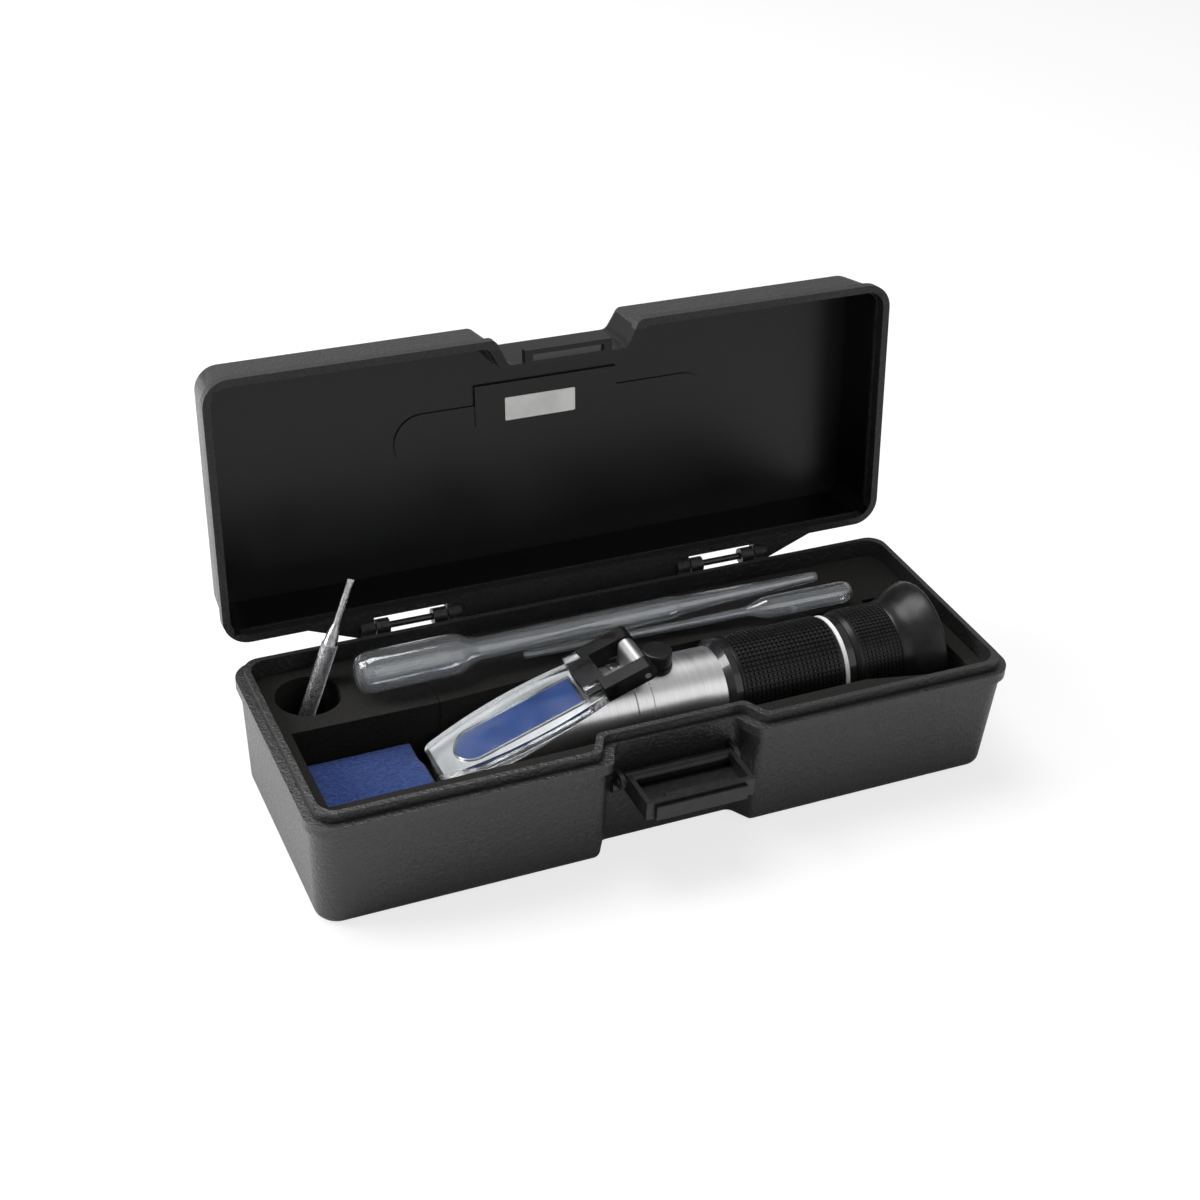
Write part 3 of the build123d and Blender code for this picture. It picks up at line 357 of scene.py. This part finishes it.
pin_steel = new_finish("pin_steel", (0.62, 0.62, 0.63), 0.25, 1.0)
haze(pin_steel, 0.18, 0.34, 500, stretch=(0.1, 1, 1))
wear(
    pin_steel, "latch_pin", "plate_hinge_pin", "bracket_screws", "cell_spring",
    "calibration_screw",
)

bracket_steel = new_finish("bracket_steel", (0.56, 0.56, 0.57), 0.38, 1.0)
mottle(bracket_steel, (0.46, 0.46, 0.47), (0.64, 0.64, 0.65), 700, stretch=(1, 0.08, 1))
grain(bracket_steel, 2500, 0.00002, 0.5, stretch=(1, 0.05, 1))
wear(bracket_steel, "hinge_bracket")

cell_brass = new_finish("cell_brass", (0.55, 0.38, 0.14), 0.3, 1.0)
haze(cell_brass, 0.22, 0.4, 400)
wear(cell_brass, "lens_cell")

driver_steel = new_finish("driver_steel", (0.55, 0.55, 0.56), 0.3, 1.0)
mottle(driver_steel, (0.42, 0.42, 0.43), (0.62, 0.62, 0.63), 800)
haze(driver_steel, 0.24, 0.4, 900)
wear(driver_steel, "screwdriver_blade")

# %% [markdown]
# ## Plastics, rubber and glass
# The hinge block is black plastic with a dull gloss; the cap, seal, grip and eyecup are
# rubber, softer in sheen. The cover plate is clear acrylic, whose edges catch the light, and
# the prism under it is blue glass, drawn solid with a coat. The plate and the lenses let light
# through.

# %% Plastic, rubber and glass finishes
block_plastic = new_finish("block_plastic", (0.003, 0.003, 0.0032), 0.3, specular=0.2)
mottle(block_plastic, (0.0025, 0.0025, 0.0027), (0.0045, 0.0045, 0.0047), 400)
haze(block_plastic, 0.24, 0.42, 300)
grain(block_plastic, 1200, 0.00002, 0.4)
wear(block_plastic, "hinge_block", "pin_sleeve")

black_rubber = new_finish("black_rubber", (0.006, 0.006, 0.0065), 0.36)
mottle(black_rubber, (0.005, 0.005, 0.0053), (0.0075, 0.0075, 0.008), 350)
haze(black_rubber, 0.3, 0.42, 250)
grain(black_rubber, 2400, 0.00003, 0.4)
wear(black_rubber, "prism_seal", "calibration_cap")

white_plastic = new_finish("white_plastic", (0.74, 0.74, 0.73), 0.3)
mottle(white_plastic, (0.7, 0.7, 0.69), (0.78, 0.78, 0.77), 200)
wear(white_plastic, "white_ring")

clear_acrylic = new_finish(
    "clear_acrylic", (0.86, 0.88, 0.89), 0.14, specular=CLEAR_SPECULAR
)
tune(clear_acrylic, "Transmission Weight", 1.0)
tune(clear_acrylic, "IOR", 1.49)
haze(clear_acrylic, 0.1, 0.24, 160)
grain(clear_acrylic, 260, 0.00002, 0.2)
wear(clear_acrylic, "cover_plate")

prism_glass = new_finish("prism_glass", (0.02, 0.065, 0.25), 0.16)
mottle(prism_glass, (0.016, 0.055, 0.22), (0.026, 0.078, 0.29), 90)
tune(prism_glass, "Coat Weight", 0.6)
wear(prism_glass, "main_prism")

lens_glass = new_finish("lens_glass", (0.95, 0.97, 0.97), 0.02, specular=CLEAR_SPECULAR)
tune(lens_glass, "Transmission Weight", 1.0)
haze(lens_glass, 0.0, 0.04, 100)
wear(lens_glass, "objective_lens", "field_lens", "eye_lens", "reticle")

# %% [markdown]
# ## Tools for modelling
# Round pieces are lathed: a profile is drawn point by point by extruding a single vertex, and
# spun round the axis. Each piece is drawn lying along X with its axis through the origin, then
# it is put on its real axis and the move is written into its mesh.

# %% Helpers for modelling
SPECK = 0.0001
LATHE_WELD = 0.000005


def clear_selection():
    """Deselects everything, so that an operator acts only on what comes next."""
    if bpy.context.object and bpy.context.object.mode != "OBJECT":
        bpy.ops.object.mode_set(mode="OBJECT")
    bpy.ops.object.select_all(action="DESELECT")


def pick(*pieces):
    """Selects these pieces only, and makes the first of them active."""
    clear_selection()
    for piece in pieces:
        piece.select_set(True)
    bpy.context.view_layer.objects.active = pieces[0]


def apply_place(piece):
    """Writes a piece's place, turn and size into its mesh."""
    pick(piece)
    bpy.ops.object.transform_apply(location=True, rotation=True, scale=True)


def apply_modifiers(piece):
    """Applies every modifier of a piece in order."""
    pick(piece)
    for modifier in list(piece.modifiers):
        bpy.ops.object.modifier_apply(modifier=modifier.name)


def draw_line(name, points):
    """Draws a new piece from point to point, and leaves it in edit mode."""
    clear_selection()
    bpy.ops.mesh.primitive_plane_add(size=SPECK, location=points[0])
    piece = bpy.context.object
    piece.name = name
    bpy.ops.object.mode_set(mode="EDIT")
    bpy.ops.mesh.select_all(action="SELECT")
    bpy.ops.mesh.merge(type="CENTER")
    for here, there in zip(points, points[1:]):
        bpy.ops.mesh.extrude_region_move(TRANSFORM_OT_translate={"value": there - here})
    return piece


def lathe(name, profile, steps, closed=True):
    """Spins a profile of (x, radius) points, in metres, round the X axis."""
    points = [Vector((x, 0, radius)) for x, radius in profile]
    if closed:
        points.append(points[0])
    piece = draw_line(name, points)
    bpy.ops.mesh.select_all(action="SELECT")
    bpy.ops.mesh.spin(
        steps=steps, angle=2 * math.pi, center=(0, 0, 0), axis=(1, 0, 0)
    )
    bpy.ops.mesh.select_all(action="SELECT")
    bpy.ops.mesh.remove_doubles(threshold=LATHE_WELD)
    bpy.ops.mesh.normals_make_consistent(inside=False)
    bpy.ops.object.mode_set(mode="OBJECT")
    return piece


def put_on_axis(piece, start, end):
    """Moves a piece drawn from the origin along X to the line from start to end."""
    way = (end - start).normalized()
    turn = Vector((1, 0, 0)).rotation_difference(way).to_matrix().to_4x4()
    piece.matrix_world = Matrix.Translation(start) @ turn @ piece.matrix_world
    apply_place(piece)


def smooth(piece, levels):
    """Rounds a piece with a subdivision surface and smooth shading."""
    rounding = piece.modifiers.new("rounding", "SUBSURF")
    rounding.levels = levels
    rounding.render_levels = levels
    apply_modifiers(piece)
    bpy.ops.object.shade_smooth()


def finish_piece(piece, material, body, stands_for):
    """Gives a new piece its finish and its body, and hides the frame node it stands for."""
    dress(piece, material)
    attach(piece, body)
    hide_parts(stands_for)
    print(piece.name, len(piece.data.polygons), "faces")


# %% [markdown]
# ## Knurled sleeves
# A knurl is a grid of small pads pressed into the surface. One row of pads is a short cylinder
# whose faces are inset and raised; an array repeats the row along the sleeve, and the plain
# ends are lathed. The frame's node gives the sleeve's length and radius.

# %% Axis of the instrument
sleeve_low, sleeve_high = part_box("grip_sleeve")
axis_y = (sleeve_low[1] + sleeve_high[1]) / 2
axis_z = (sleeve_low[2] + sleeve_high[2]) / 2
AXIS_START = Vector((0, axis_y, axis_z))
AXIS_END = Vector((1, axis_y, axis_z))

# %% Knurl helpers
PAD_GAP = 0.11
PAD_SLOPE = 0.12
ROW_WELD = 0.00001
SKIN_WELD = 0.00002
SHARP_EDGE = math.radians(28)


def knurl(name, x_low, x_high, radius, columns, rows, relief):
    """A band of raised pads round the X axis."""
    clear_selection()
    pitch = (x_high - x_low) / rows
    bpy.ops.mesh.primitive_cylinder_add(
        vertices=columns, radius=radius - relief, depth=pitch, end_fill_type="NOTHING",
        location=(x_low + pitch / 2, 0, 0), rotation=(0, math.pi / 2, 0),
    )
    band = bpy.context.object
    band.name = name
    bpy.ops.object.mode_set(mode="EDIT")
    bpy.ops.mesh.select_all(action="SELECT")
    bpy.ops.mesh.inset(thickness=pitch * PAD_GAP, depth=0, use_individual=True)
    bpy.ops.mesh.inset(thickness=pitch * PAD_SLOPE, depth=relief, use_individual=True)
    bpy.ops.object.mode_set(mode="OBJECT")
    apply_place(band)
    repeat = band.modifiers.new("rows", "ARRAY")
    repeat.use_relative_offset = False
    repeat.use_constant_offset = True
    repeat.constant_offset_displace = (pitch, 0, 0)
    repeat.count = rows
    repeat.use_merge_vertices = True
    repeat.merge_threshold = ROW_WELD
    apply_modifiers(band)
    return band


def join(name, *parts):
    """Joins pieces into one mesh."""
    pick(*parts)
    bpy.ops.object.join()
    parts[0].name = name
    return parts[0]


def merge_skin(piece):
    """Closes the seams of a joined piece and turns its faces outwards."""
    pick(piece)
    bpy.ops.object.mode_set(mode="EDIT")
    bpy.ops.mesh.select_all(action="SELECT")
    bpy.ops.mesh.remove_doubles(threshold=SKIN_WELD)
    bpy.ops.mesh.normals_make_consistent(inside=False)
    bpy.ops.object.mode_set(mode="OBJECT")
    bpy.ops.object.shade_smooth_by_angle(angle=SHARP_EDGE)


# %% Grip sleeve
GRIP_COLUMNS = 62
GRIP_ROWS = 22
GRIP_RELIEF = 0.5 * MM
GRIP_END = 0.9 * MM
GRIP_WALL = 1.9 * MM
GRIP_EDGE = 0.3 * MM
grip_left = sleeve_low[0]
grip_right = sleeve_high[0]
grip_radius = (sleeve_high[1] - sleeve_low[1]) / 2
grip_base = grip_radius - GRIP_RELIEF
grip_pads = knurl(
    "grip_pads", grip_left + GRIP_END, grip_right - GRIP_END, grip_radius,
    GRIP_COLUMNS, GRIP_ROWS, GRIP_RELIEF,
)
grip_core = lathe(
    "grip_core",
    [
        (grip_left + GRIP_END, grip_base),
        (grip_left + GRIP_EDGE, grip_base),
        (grip_left, grip_base - GRIP_EDGE),
        (grip_left, grip_radius - GRIP_WALL),
        (grip_right, grip_radius - GRIP_WALL),
        (grip_right, grip_base - GRIP_EDGE),
        (grip_right - GRIP_EDGE, grip_base),
        (grip_right - GRIP_END, grip_base),
    ],
    GRIP_COLUMNS, closed=False,
)
grip = join("grip_rubber", grip_core, grip_pads)
put_on_axis(grip, AXIS_START, AXIS_END)
merge_skin(grip)
finish_piece(grip, black_rubber, "instrument", "grip_sleeve")

# %% [markdown]
# ## Screwdriver handle
# The screwdriver stands slanting in its hole. Its handle has a fine knurl too, which winds
# round it: the straight band is twisted before it is put on the core. The core starts with the
# cone that leads from the shaft to the handle.

# %% Screwdriver handle
DRIVER_TOP = Vector((-69.9, 30.0, 60.2)) * MM
DRIVER_RIM = Vector((-81.5, 25.7, 31.5)) * MM
HANDLE_START = 18.6 * MM
HANDLE_LENGTH = 33.4 * MM
HANDLE_RADIUS = 2.3 * MM
HANDLE_COLUMNS = 18
HANDLE_ROWS = 40
HANDLE_RELIEF = 0.22 * MM
HANDLE_TWIST = math.radians(620)
HANDLE_END = 0.5 * MM
HANDLE_BASE = HANDLE_RADIUS - HANDLE_RELIEF
SHAFT_RADIUS = 0.9 * MM
SHAFT_BORE = SHAFT_RADIUS + 0.05 * MM
CONE_LENGTH = 5.2 * MM
handle_pads = knurl(
    "handle_pads", HANDLE_END, HANDLE_LENGTH - HANDLE_END, HANDLE_RADIUS,
    HANDLE_COLUMNS, HANDLE_ROWS, HANDLE_RELIEF,
)
handle_twist = handle_pads.modifiers.new("twist", "SIMPLE_DEFORM")
handle_twist.deform_method = "TWIST"
handle_twist.deform_axis = "X"
handle_twist.angle = HANDLE_TWIST
apply_modifiers(handle_pads)
handle_core = lathe(
    "handle_core",
    [
        (HANDLE_END, HANDLE_BASE),
        (0, HANDLE_BASE - 0.2 * MM),
        (-1.5 * MM, SHAFT_RADIUS + 0.9 * MM),
        (-CONE_LENGTH + 1.5 * MM, SHAFT_RADIUS + 0.45 * MM),
        (-CONE_LENGTH, SHAFT_BORE),
        (HANDLE_LENGTH, SHAFT_BORE),
        (HANDLE_LENGTH, HANDLE_BASE - 0.3 * MM),
        (HANDLE_LENGTH - HANDLE_END, HANDLE_BASE),
    ],
    HANDLE_COLUMNS, closed=False,
)
driver_handle = join("driver_handle", handle_core, handle_pads)
driver_way = (DRIVER_RIM - DRIVER_TOP).normalized()
put_on_axis(
    driver_handle,
    DRIVER_TOP + driver_way * HANDLE_START,
    DRIVER_TOP + driver_way * (HANDLE_START + HANDLE_LENGTH),
)
merge_skin(driver_handle)
finish_piece(driver_handle, driver_steel, "screwdriver", "screwdriver_handle")

# %% [markdown]
# ## Focus ring and eyecup
# The focus ring carries a finer knurl than the grip, and the soft eyecup flares from it like
# a trumpet with a rolled edge. The flare is a lathed profile that a subdivision surface
# rounds.

# %% Focus ring
focus_low, focus_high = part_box("focus_ring")
focus_left = focus_low[0]
focus_right = focus_high[0]
focus_radius = (focus_high[1] - focus_low[1]) / 2
FOCUS_COLUMNS = 76
FOCUS_ROWS = 10
FOCUS_RELIEF = 0.4 * MM
FOCUS_LEAD = 1.9 * MM
FOCUS_CONE = 1.2 * MM
FOCUS_LAND = 2.0 * MM
FOCUS_STEP = 0.4 * MM
FOCUS_BORE = focus_radius - 1.4 * MM
focus_base = focus_radius - FOCUS_RELIEF
focus_end = focus_right - FOCUS_LAND
focus_pads = knurl(
    "focus_pads", focus_left + FOCUS_LEAD, focus_end, focus_radius,
    FOCUS_COLUMNS, FOCUS_ROWS, FOCUS_RELIEF,
)
focus_core = lathe(
    "focus_core",
    [
        (focus_left + FOCUS_LEAD, focus_base),
        (focus_left + FOCUS_CONE, focus_base),
        (focus_left, FOCUS_BORE + 0.2 * MM),
        (focus_left, FOCUS_BORE),
        (focus_right, FOCUS_BORE),
        (focus_right, focus_base - FOCUS_STEP),
        (focus_end, focus_base - FOCUS_STEP),
        (focus_end, focus_base),
    ],
    FOCUS_COLUMNS, closed=False,
)
focus_piece = join("focus_rubber", focus_core, focus_pads)
put_on_axis(focus_piece, AXIS_START, AXIS_END)
merge_skin(focus_piece)
finish_piece(focus_piece, black_rubber, "focus", "focus_ring")

# %% Eyecup
CUP_STEPS = 64
cup_low, cup_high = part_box("eyecup")
cup_left = cup_low[0]
cup_right = cup_high[0]
cup_radius = (cup_high[1] - cup_low[1]) / 2
cup_step = cup_right - cup_left
eyecup = lathe(
    "eyecup_rubber",
    [
        (cup_left, focus_base - 0.4 * MM),
        (cup_left, focus_radius),
        (cup_left + 0.20 * cup_step, focus_radius + 0.1 * MM),
        (cup_left + 0.36 * cup_step, focus_radius + 0.9 * MM),
        (cup_left + 0.56 * cup_step, focus_radius + 2.6 * MM),
        (cup_left + 0.80 * cup_step, cup_radius - 0.5 * MM),
        (cup_right - 0.5 * MM, cup_radius + 0.05 * MM),
        (cup_right + 0.1 * MM, cup_radius - 0.7 * MM),
        (cup_right - 0.4 * MM, cup_radius - 1.5 * MM),
        (cup_left + 0.80 * cup_step, cup_radius - 2.0 * MM),
        (cup_left + 0.56 * cup_step, focus_radius + 0.9 * MM),
        (cup_left + 0.36 * cup_step, focus_radius - 0.7 * MM),
        (cup_left + 0.20 * cup_step, focus_base - 0.6 * MM),
    ],
    CUP_STEPS,
)
smooth(eyecup, 2)
put_on_axis(eyecup, AXIS_START, AXIS_END)
finish_piece(eyecup, black_rubber, "focus", "eyecup")

# %% [markdown]
# ## Pipettes
# The pipettes are blown from milky soft plastic: a closed bulb, a neck, a straight stem and a
# drawn tip. They are thin shells, so the profile is drawn outside and inside. The plastic lets
# light through but scatters it, so it gets transmission with some roughness.

# %% Pipette finish
milky_plastic = new_finish(
    "milky_plastic", (0.93, 0.95, 0.98), 0.07, specular=CLEAR_SPECULAR
)
tune(milky_plastic, "Transmission Weight", 0.975)
tune(milky_plastic, "IOR", 1.33)
tune(milky_plastic, "Coat Weight", 0.6)
mottle(milky_plastic, (0.91, 0.94, 0.97), (0.95, 0.97, 0.99), 120)
haze(milky_plastic, 0.05, 0.1, 200)

# %% Pipette helper
PIPETTE_STEPS = 24
FINEST_BORE = 0.15 * MM


def blown_shell(name, start, end, stations, wall):
    """A thin shell round the line from start to end, from (distance, radius) stations."""
    inside = [(distance, max(radius - wall, FINEST_BORE)) for distance, radius in stations[1:]]
    inside[0] = (inside[0][0] + wall, inside[0][1])
    profile = [(0, 0)] + stations + inside[::-1] + [(wall, 0)]
    shell = lathe(name, profile, PIPETTE_STEPS, closed=False)
    smooth(shell, 2)
    put_on_axis(shell, start, end)
    return shell


# %% Large pipette
LARGE_BULB_END = Vector((-73.2, 17.2, 37.65)) * MM
LARGE_TIP_END = Vector((68.4, 17.9, 39.05)) * MM
LARGE_BULB = 6.05 * MM
LARGE_STEM = 3.45 * MM
LARGE_WALL = 0.55 * MM
large_length = (LARGE_TIP_END - LARGE_BULB_END).length
large_pipette = blown_shell(
    "large_pipette", LARGE_BULB_END, LARGE_TIP_END,
    [
        (0, LARGE_BULB * 0.45), (0.8 * MM, LARGE_BULB * 0.8), (3.2 * MM, LARGE_BULB),
        (6 * MM, LARGE_BULB), (26 * MM, LARGE_BULB), (29.5 * MM, LARGE_BULB),
        (32.5 * MM, LARGE_STEM * 1.25), (34.5 * MM, LARGE_STEM), (38 * MM, LARGE_STEM),
        (93.8 * MM, LARGE_STEM), (94.8 * MM, LARGE_STEM), (96.5 * MM, LARGE_STEM * 0.84),
        (100 * MM, LARGE_STEM * 0.8), (large_length - 1 * MM, 1.45 * MM),
        (large_length, 1.4 * MM),
    ],
    LARGE_WALL,
)
finish_piece(large_pipette, milky_plastic, "case", "pipette_large")

# %% Small pipette
SMALL_BULB_END = Vector((76.8, 11.2, 36.1)) * MM
SMALL_TIP_END = Vector((-24.2, 17.5, 32.65)) * MM
SMALL_BULB = 3.55 * MM
SMALL_STEM = 1.5 * MM
SMALL_WALL = 0.4 * MM
small_length = (SMALL_TIP_END - SMALL_BULB_END).length
small_pipette = blown_shell(
    "small_pipette", SMALL_BULB_END, SMALL_TIP_END,
    [
        (0, SMALL_BULB * 0.45), (0.6 * MM, SMALL_BULB * 0.8), (2.2 * MM, SMALL_BULB),
        (4 * MM, SMALL_BULB), (25 * MM, SMALL_BULB), (28 * MM, SMALL_BULB),
        (31.5 * MM, SMALL_STEM * 1.4), (33.5 * MM, SMALL_STEM), (36 * MM, SMALL_STEM),
        (small_length - 1 * MM, 1.0 * MM), (small_length, 1.0 * MM),
    ],
    SMALL_WALL,
)
finish_piece(small_pipette, milky_plastic, "case", "pipette_small")

# %% [markdown]
# ## Folded cloth
# A blue microfibre cloth lies folded in the end of the groove. It is one strip that runs back
# and forth in sixteen layers and is then given its thickness. The corner at the instrument is
# pressed in and down a little, and a broad, shallow wave lifts the layers unevenly. Its pile
# is a fine bump and a sheen.

# %% Cloth finish
microfibre = new_finish("microfibre", (0.014, 0.034, 0.13), 0.9, specular=0.2)
mottle(microfibre, (0.008, 0.022, 0.095), (0.024, 0.052, 0.18), 900, 0.3, 0.7)
grain(microfibre, 1300, 0.0005, detail=4.0)
tune(microfibre, "Sheen Weight", 0.12)
tune(microfibre, "Sheen Roughness", 0.5)

# %% Cloth
CLOTH_LAYERS = 16
CLOTH_ROWS = 12
LAYER_STEPS = 8
CLOTH_THICKNESS = 0.42 * MM
FOLD_ROOM = 0.6 * MM
cloth_low, cloth_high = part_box("cleaning_cloth")
layer_pitch = (cloth_high[2] - cloth_low[2] - 2 * FOLD_ROOM) / CLOTH_LAYERS
cloth_front = cloth_low[1] + FOLD_ROOM
strip = []
for layer in range(CLOTH_LAYERS):
    height = cloth_low[2] + (layer + 0.5) * layer_pitch
    ends = [cloth_low[0] + FOLD_ROOM, cloth_high[0] - FOLD_ROOM]
    if layer % 2:
        ends.reverse()
    for step in range(LAYER_STEPS + 1):
        share = step / LAYER_STEPS
        strip.append(Vector((ends[0] + (ends[1] - ends[0]) * share, cloth_front, height)))
cloth = draw_line("folded_cloth", strip)
row_depth = (cloth_high[1] - cloth_low[1] - 2 * FOLD_ROOM) / CLOTH_ROWS
bpy.ops.mesh.select_all(action="SELECT")
for _ in range(CLOTH_ROWS):
    bpy.ops.mesh.extrude_region_move(TRANSFORM_OT_translate={"value": (0, row_depth, 0)})
bpy.ops.object.mode_set(mode="OBJECT")
apply_place(cloth)
print("cloth layers", CLOTH_LAYERS, "pitch", round(layer_pitch / MM, 2), "mm")

# %% Soft corner and thickness
CORNER_PULLS = ((9 * MM, 0.2 * MM), (6 * MM, 0.25 * MM), (3 * MM, 0.35 * MM))
CORNER_SINK = 0.3
WAVE_SIZE = 0.016
WAVE_HEIGHT = 1.4 * MM
for reach, pull in CORNER_PULLS:
    for point in cloth.data.vertices:
        from_corner = (cloth_high[0] - point.co.x) + (cloth_high[1] - point.co.y)
        point.select = from_corner < reach
    bpy.ops.object.mode_set(mode="EDIT")
    bpy.ops.transform.translate(value=(-pull, -pull, -CORNER_SINK * pull))
    bpy.ops.object.mode_set(mode="OBJECT")
thickness = cloth.modifiers.new("thickness", "SOLIDIFY")
thickness.thickness = CLOTH_THICKNESS
thickness.offset = 0
waves = bpy.data.textures.new("cloth_waves", "CLOUDS")
waves.noise_scale = WAVE_SIZE
swell = cloth.modifiers.new("waves", "DISPLACE")
swell.texture = waves
swell.texture_coords = "GLOBAL"
swell.strength = WAVE_HEIGHT
swell.mid_level = 0.5
swell.direction = "Z"
apply_modifiers(cloth)
smooth(cloth, 1)
finish_piece(cloth, microfibre, "case", "cleaning_cloth")

# %% [markdown]
# ## Lights, floor and world
# The photograph is a plain studio shot on white: a broad soft light from above and the left,
# and white all round. The floor glows a little for the camera, so it is almost as white as the
# world behind it and keeps a faint shadow. The world is white to the camera and through clear
# pieces. As a light it is dimmer, and in mirrors it lies between the two, so that the black
# plastic stays black.

# %% Lights
LIT_POINT = (0, 0, 0.03)


def area_light(name, place, size, power):
    light = bpy.data.lights.new(name, "AREA")
    light.shape = "SQUARE"
    light.size = size
    light.energy = power
    lamp = bpy.data.objects.new(name, light)
    bpy.context.scene.collection.objects.link(lamp)
    way = Vector(LIT_POINT) - Vector(place)
    lamp.rotation_euler = way.to_track_quat("-Z", "Y").to_euler()
    lamp.location = place


area_light("left_light", (-0.8, 0.35, 0.5), 0.5, 11)
area_light("top_light", (-0.15, 0.35, 0.9), 0.6, 9)
area_light("front_light", (0.35, -0.8, 0.5), 0.8, 1.5)

# %% Floor
FLOOR_SIZE = 6
FLOOR_DROP = 0.0002
FLOOR_SEEN_WHITE = 0.75
clear_selection()
bpy.ops.mesh.primitive_plane_add(size=FLOOR_SIZE, location=(0, 0, -FLOOR_DROP))
floor = bpy.context.object
floor.name = "floor"
floor_finish = new_finish("floor_white", (0.9, 0.9, 0.9), 0.9)
floor_tree = floor_finish.node_tree
floor_path = floor_tree.nodes.new("ShaderNodeLightPath")
floor_share = floor_tree.nodes.new("ShaderNodeMath")
floor_share.operation = "MULTIPLY"
floor_share.inputs[1].default_value = FLOOR_SEEN_WHITE
floor_glow = floor_tree.nodes.new("ShaderNodeEmission")
floor_glow.inputs["Color"].default_value = (1, 1, 1, 1)
floor_mix = floor_tree.nodes.new("ShaderNodeMixShader")
floor_out = floor_tree.nodes["Material Output"]
floor_links = floor_tree.links
floor_links.new(floor_path.outputs["Is Camera Ray"], floor_share.inputs[0])
floor_links.new(floor_share.outputs["Value"], floor_mix.inputs["Fac"])
floor_links.new(shader_of(floor_finish).outputs["BSDF"], floor_mix.inputs[1])
floor_links.new(floor_glow.outputs["Emission"], floor_mix.inputs[2])
floor_links.new(floor_mix.outputs["Shader"], floor_out.inputs["Surface"])
floor.data.materials.append(floor_finish)

# %% World
WORLD_AS_LIGHT = 0.34
WORLD_SEEN = 1.0
MIRRORED_WHITE = 0.1
world = bpy.data.worlds.new("studio")
bpy.context.scene.world = world
world.use_nodes = True
sky = world.node_tree.nodes["Background"]
path = world.node_tree.nodes.new("ShaderNodeLightPath")
seen = world.node_tree.nodes.new("ShaderNodeMath")
seen.operation = "MAXIMUM"
mirrored = world.node_tree.nodes.new("ShaderNodeMath")
mirrored.operation = "MULTIPLY_ADD"
mirrored.inputs[1].default_value = MIRRORED_WHITE
level = world.node_tree.nodes.new("ShaderNodeMapRange")
level.inputs["To Min"].default_value = WORLD_AS_LIGHT
level.inputs["To Max"].default_value = WORLD_SEEN
sky.inputs["Color"].default_value = (1, 1, 1, 1)
links = world.node_tree.links
links.new(path.outputs["Is Camera Ray"], seen.inputs[0])
links.new(path.outputs["Is Transmission Ray"], seen.inputs[1])
links.new(path.outputs["Is Glossy Ray"], mirrored.inputs[0])
links.new(seen.outputs["Value"], mirrored.inputs[2])
links.new(mirrored.outputs["Value"], level.inputs["Value"])
links.new(level.outputs["Result"], sky.inputs["Strength"])
bpy.context.scene.view_settings.view_transform = "Standard"
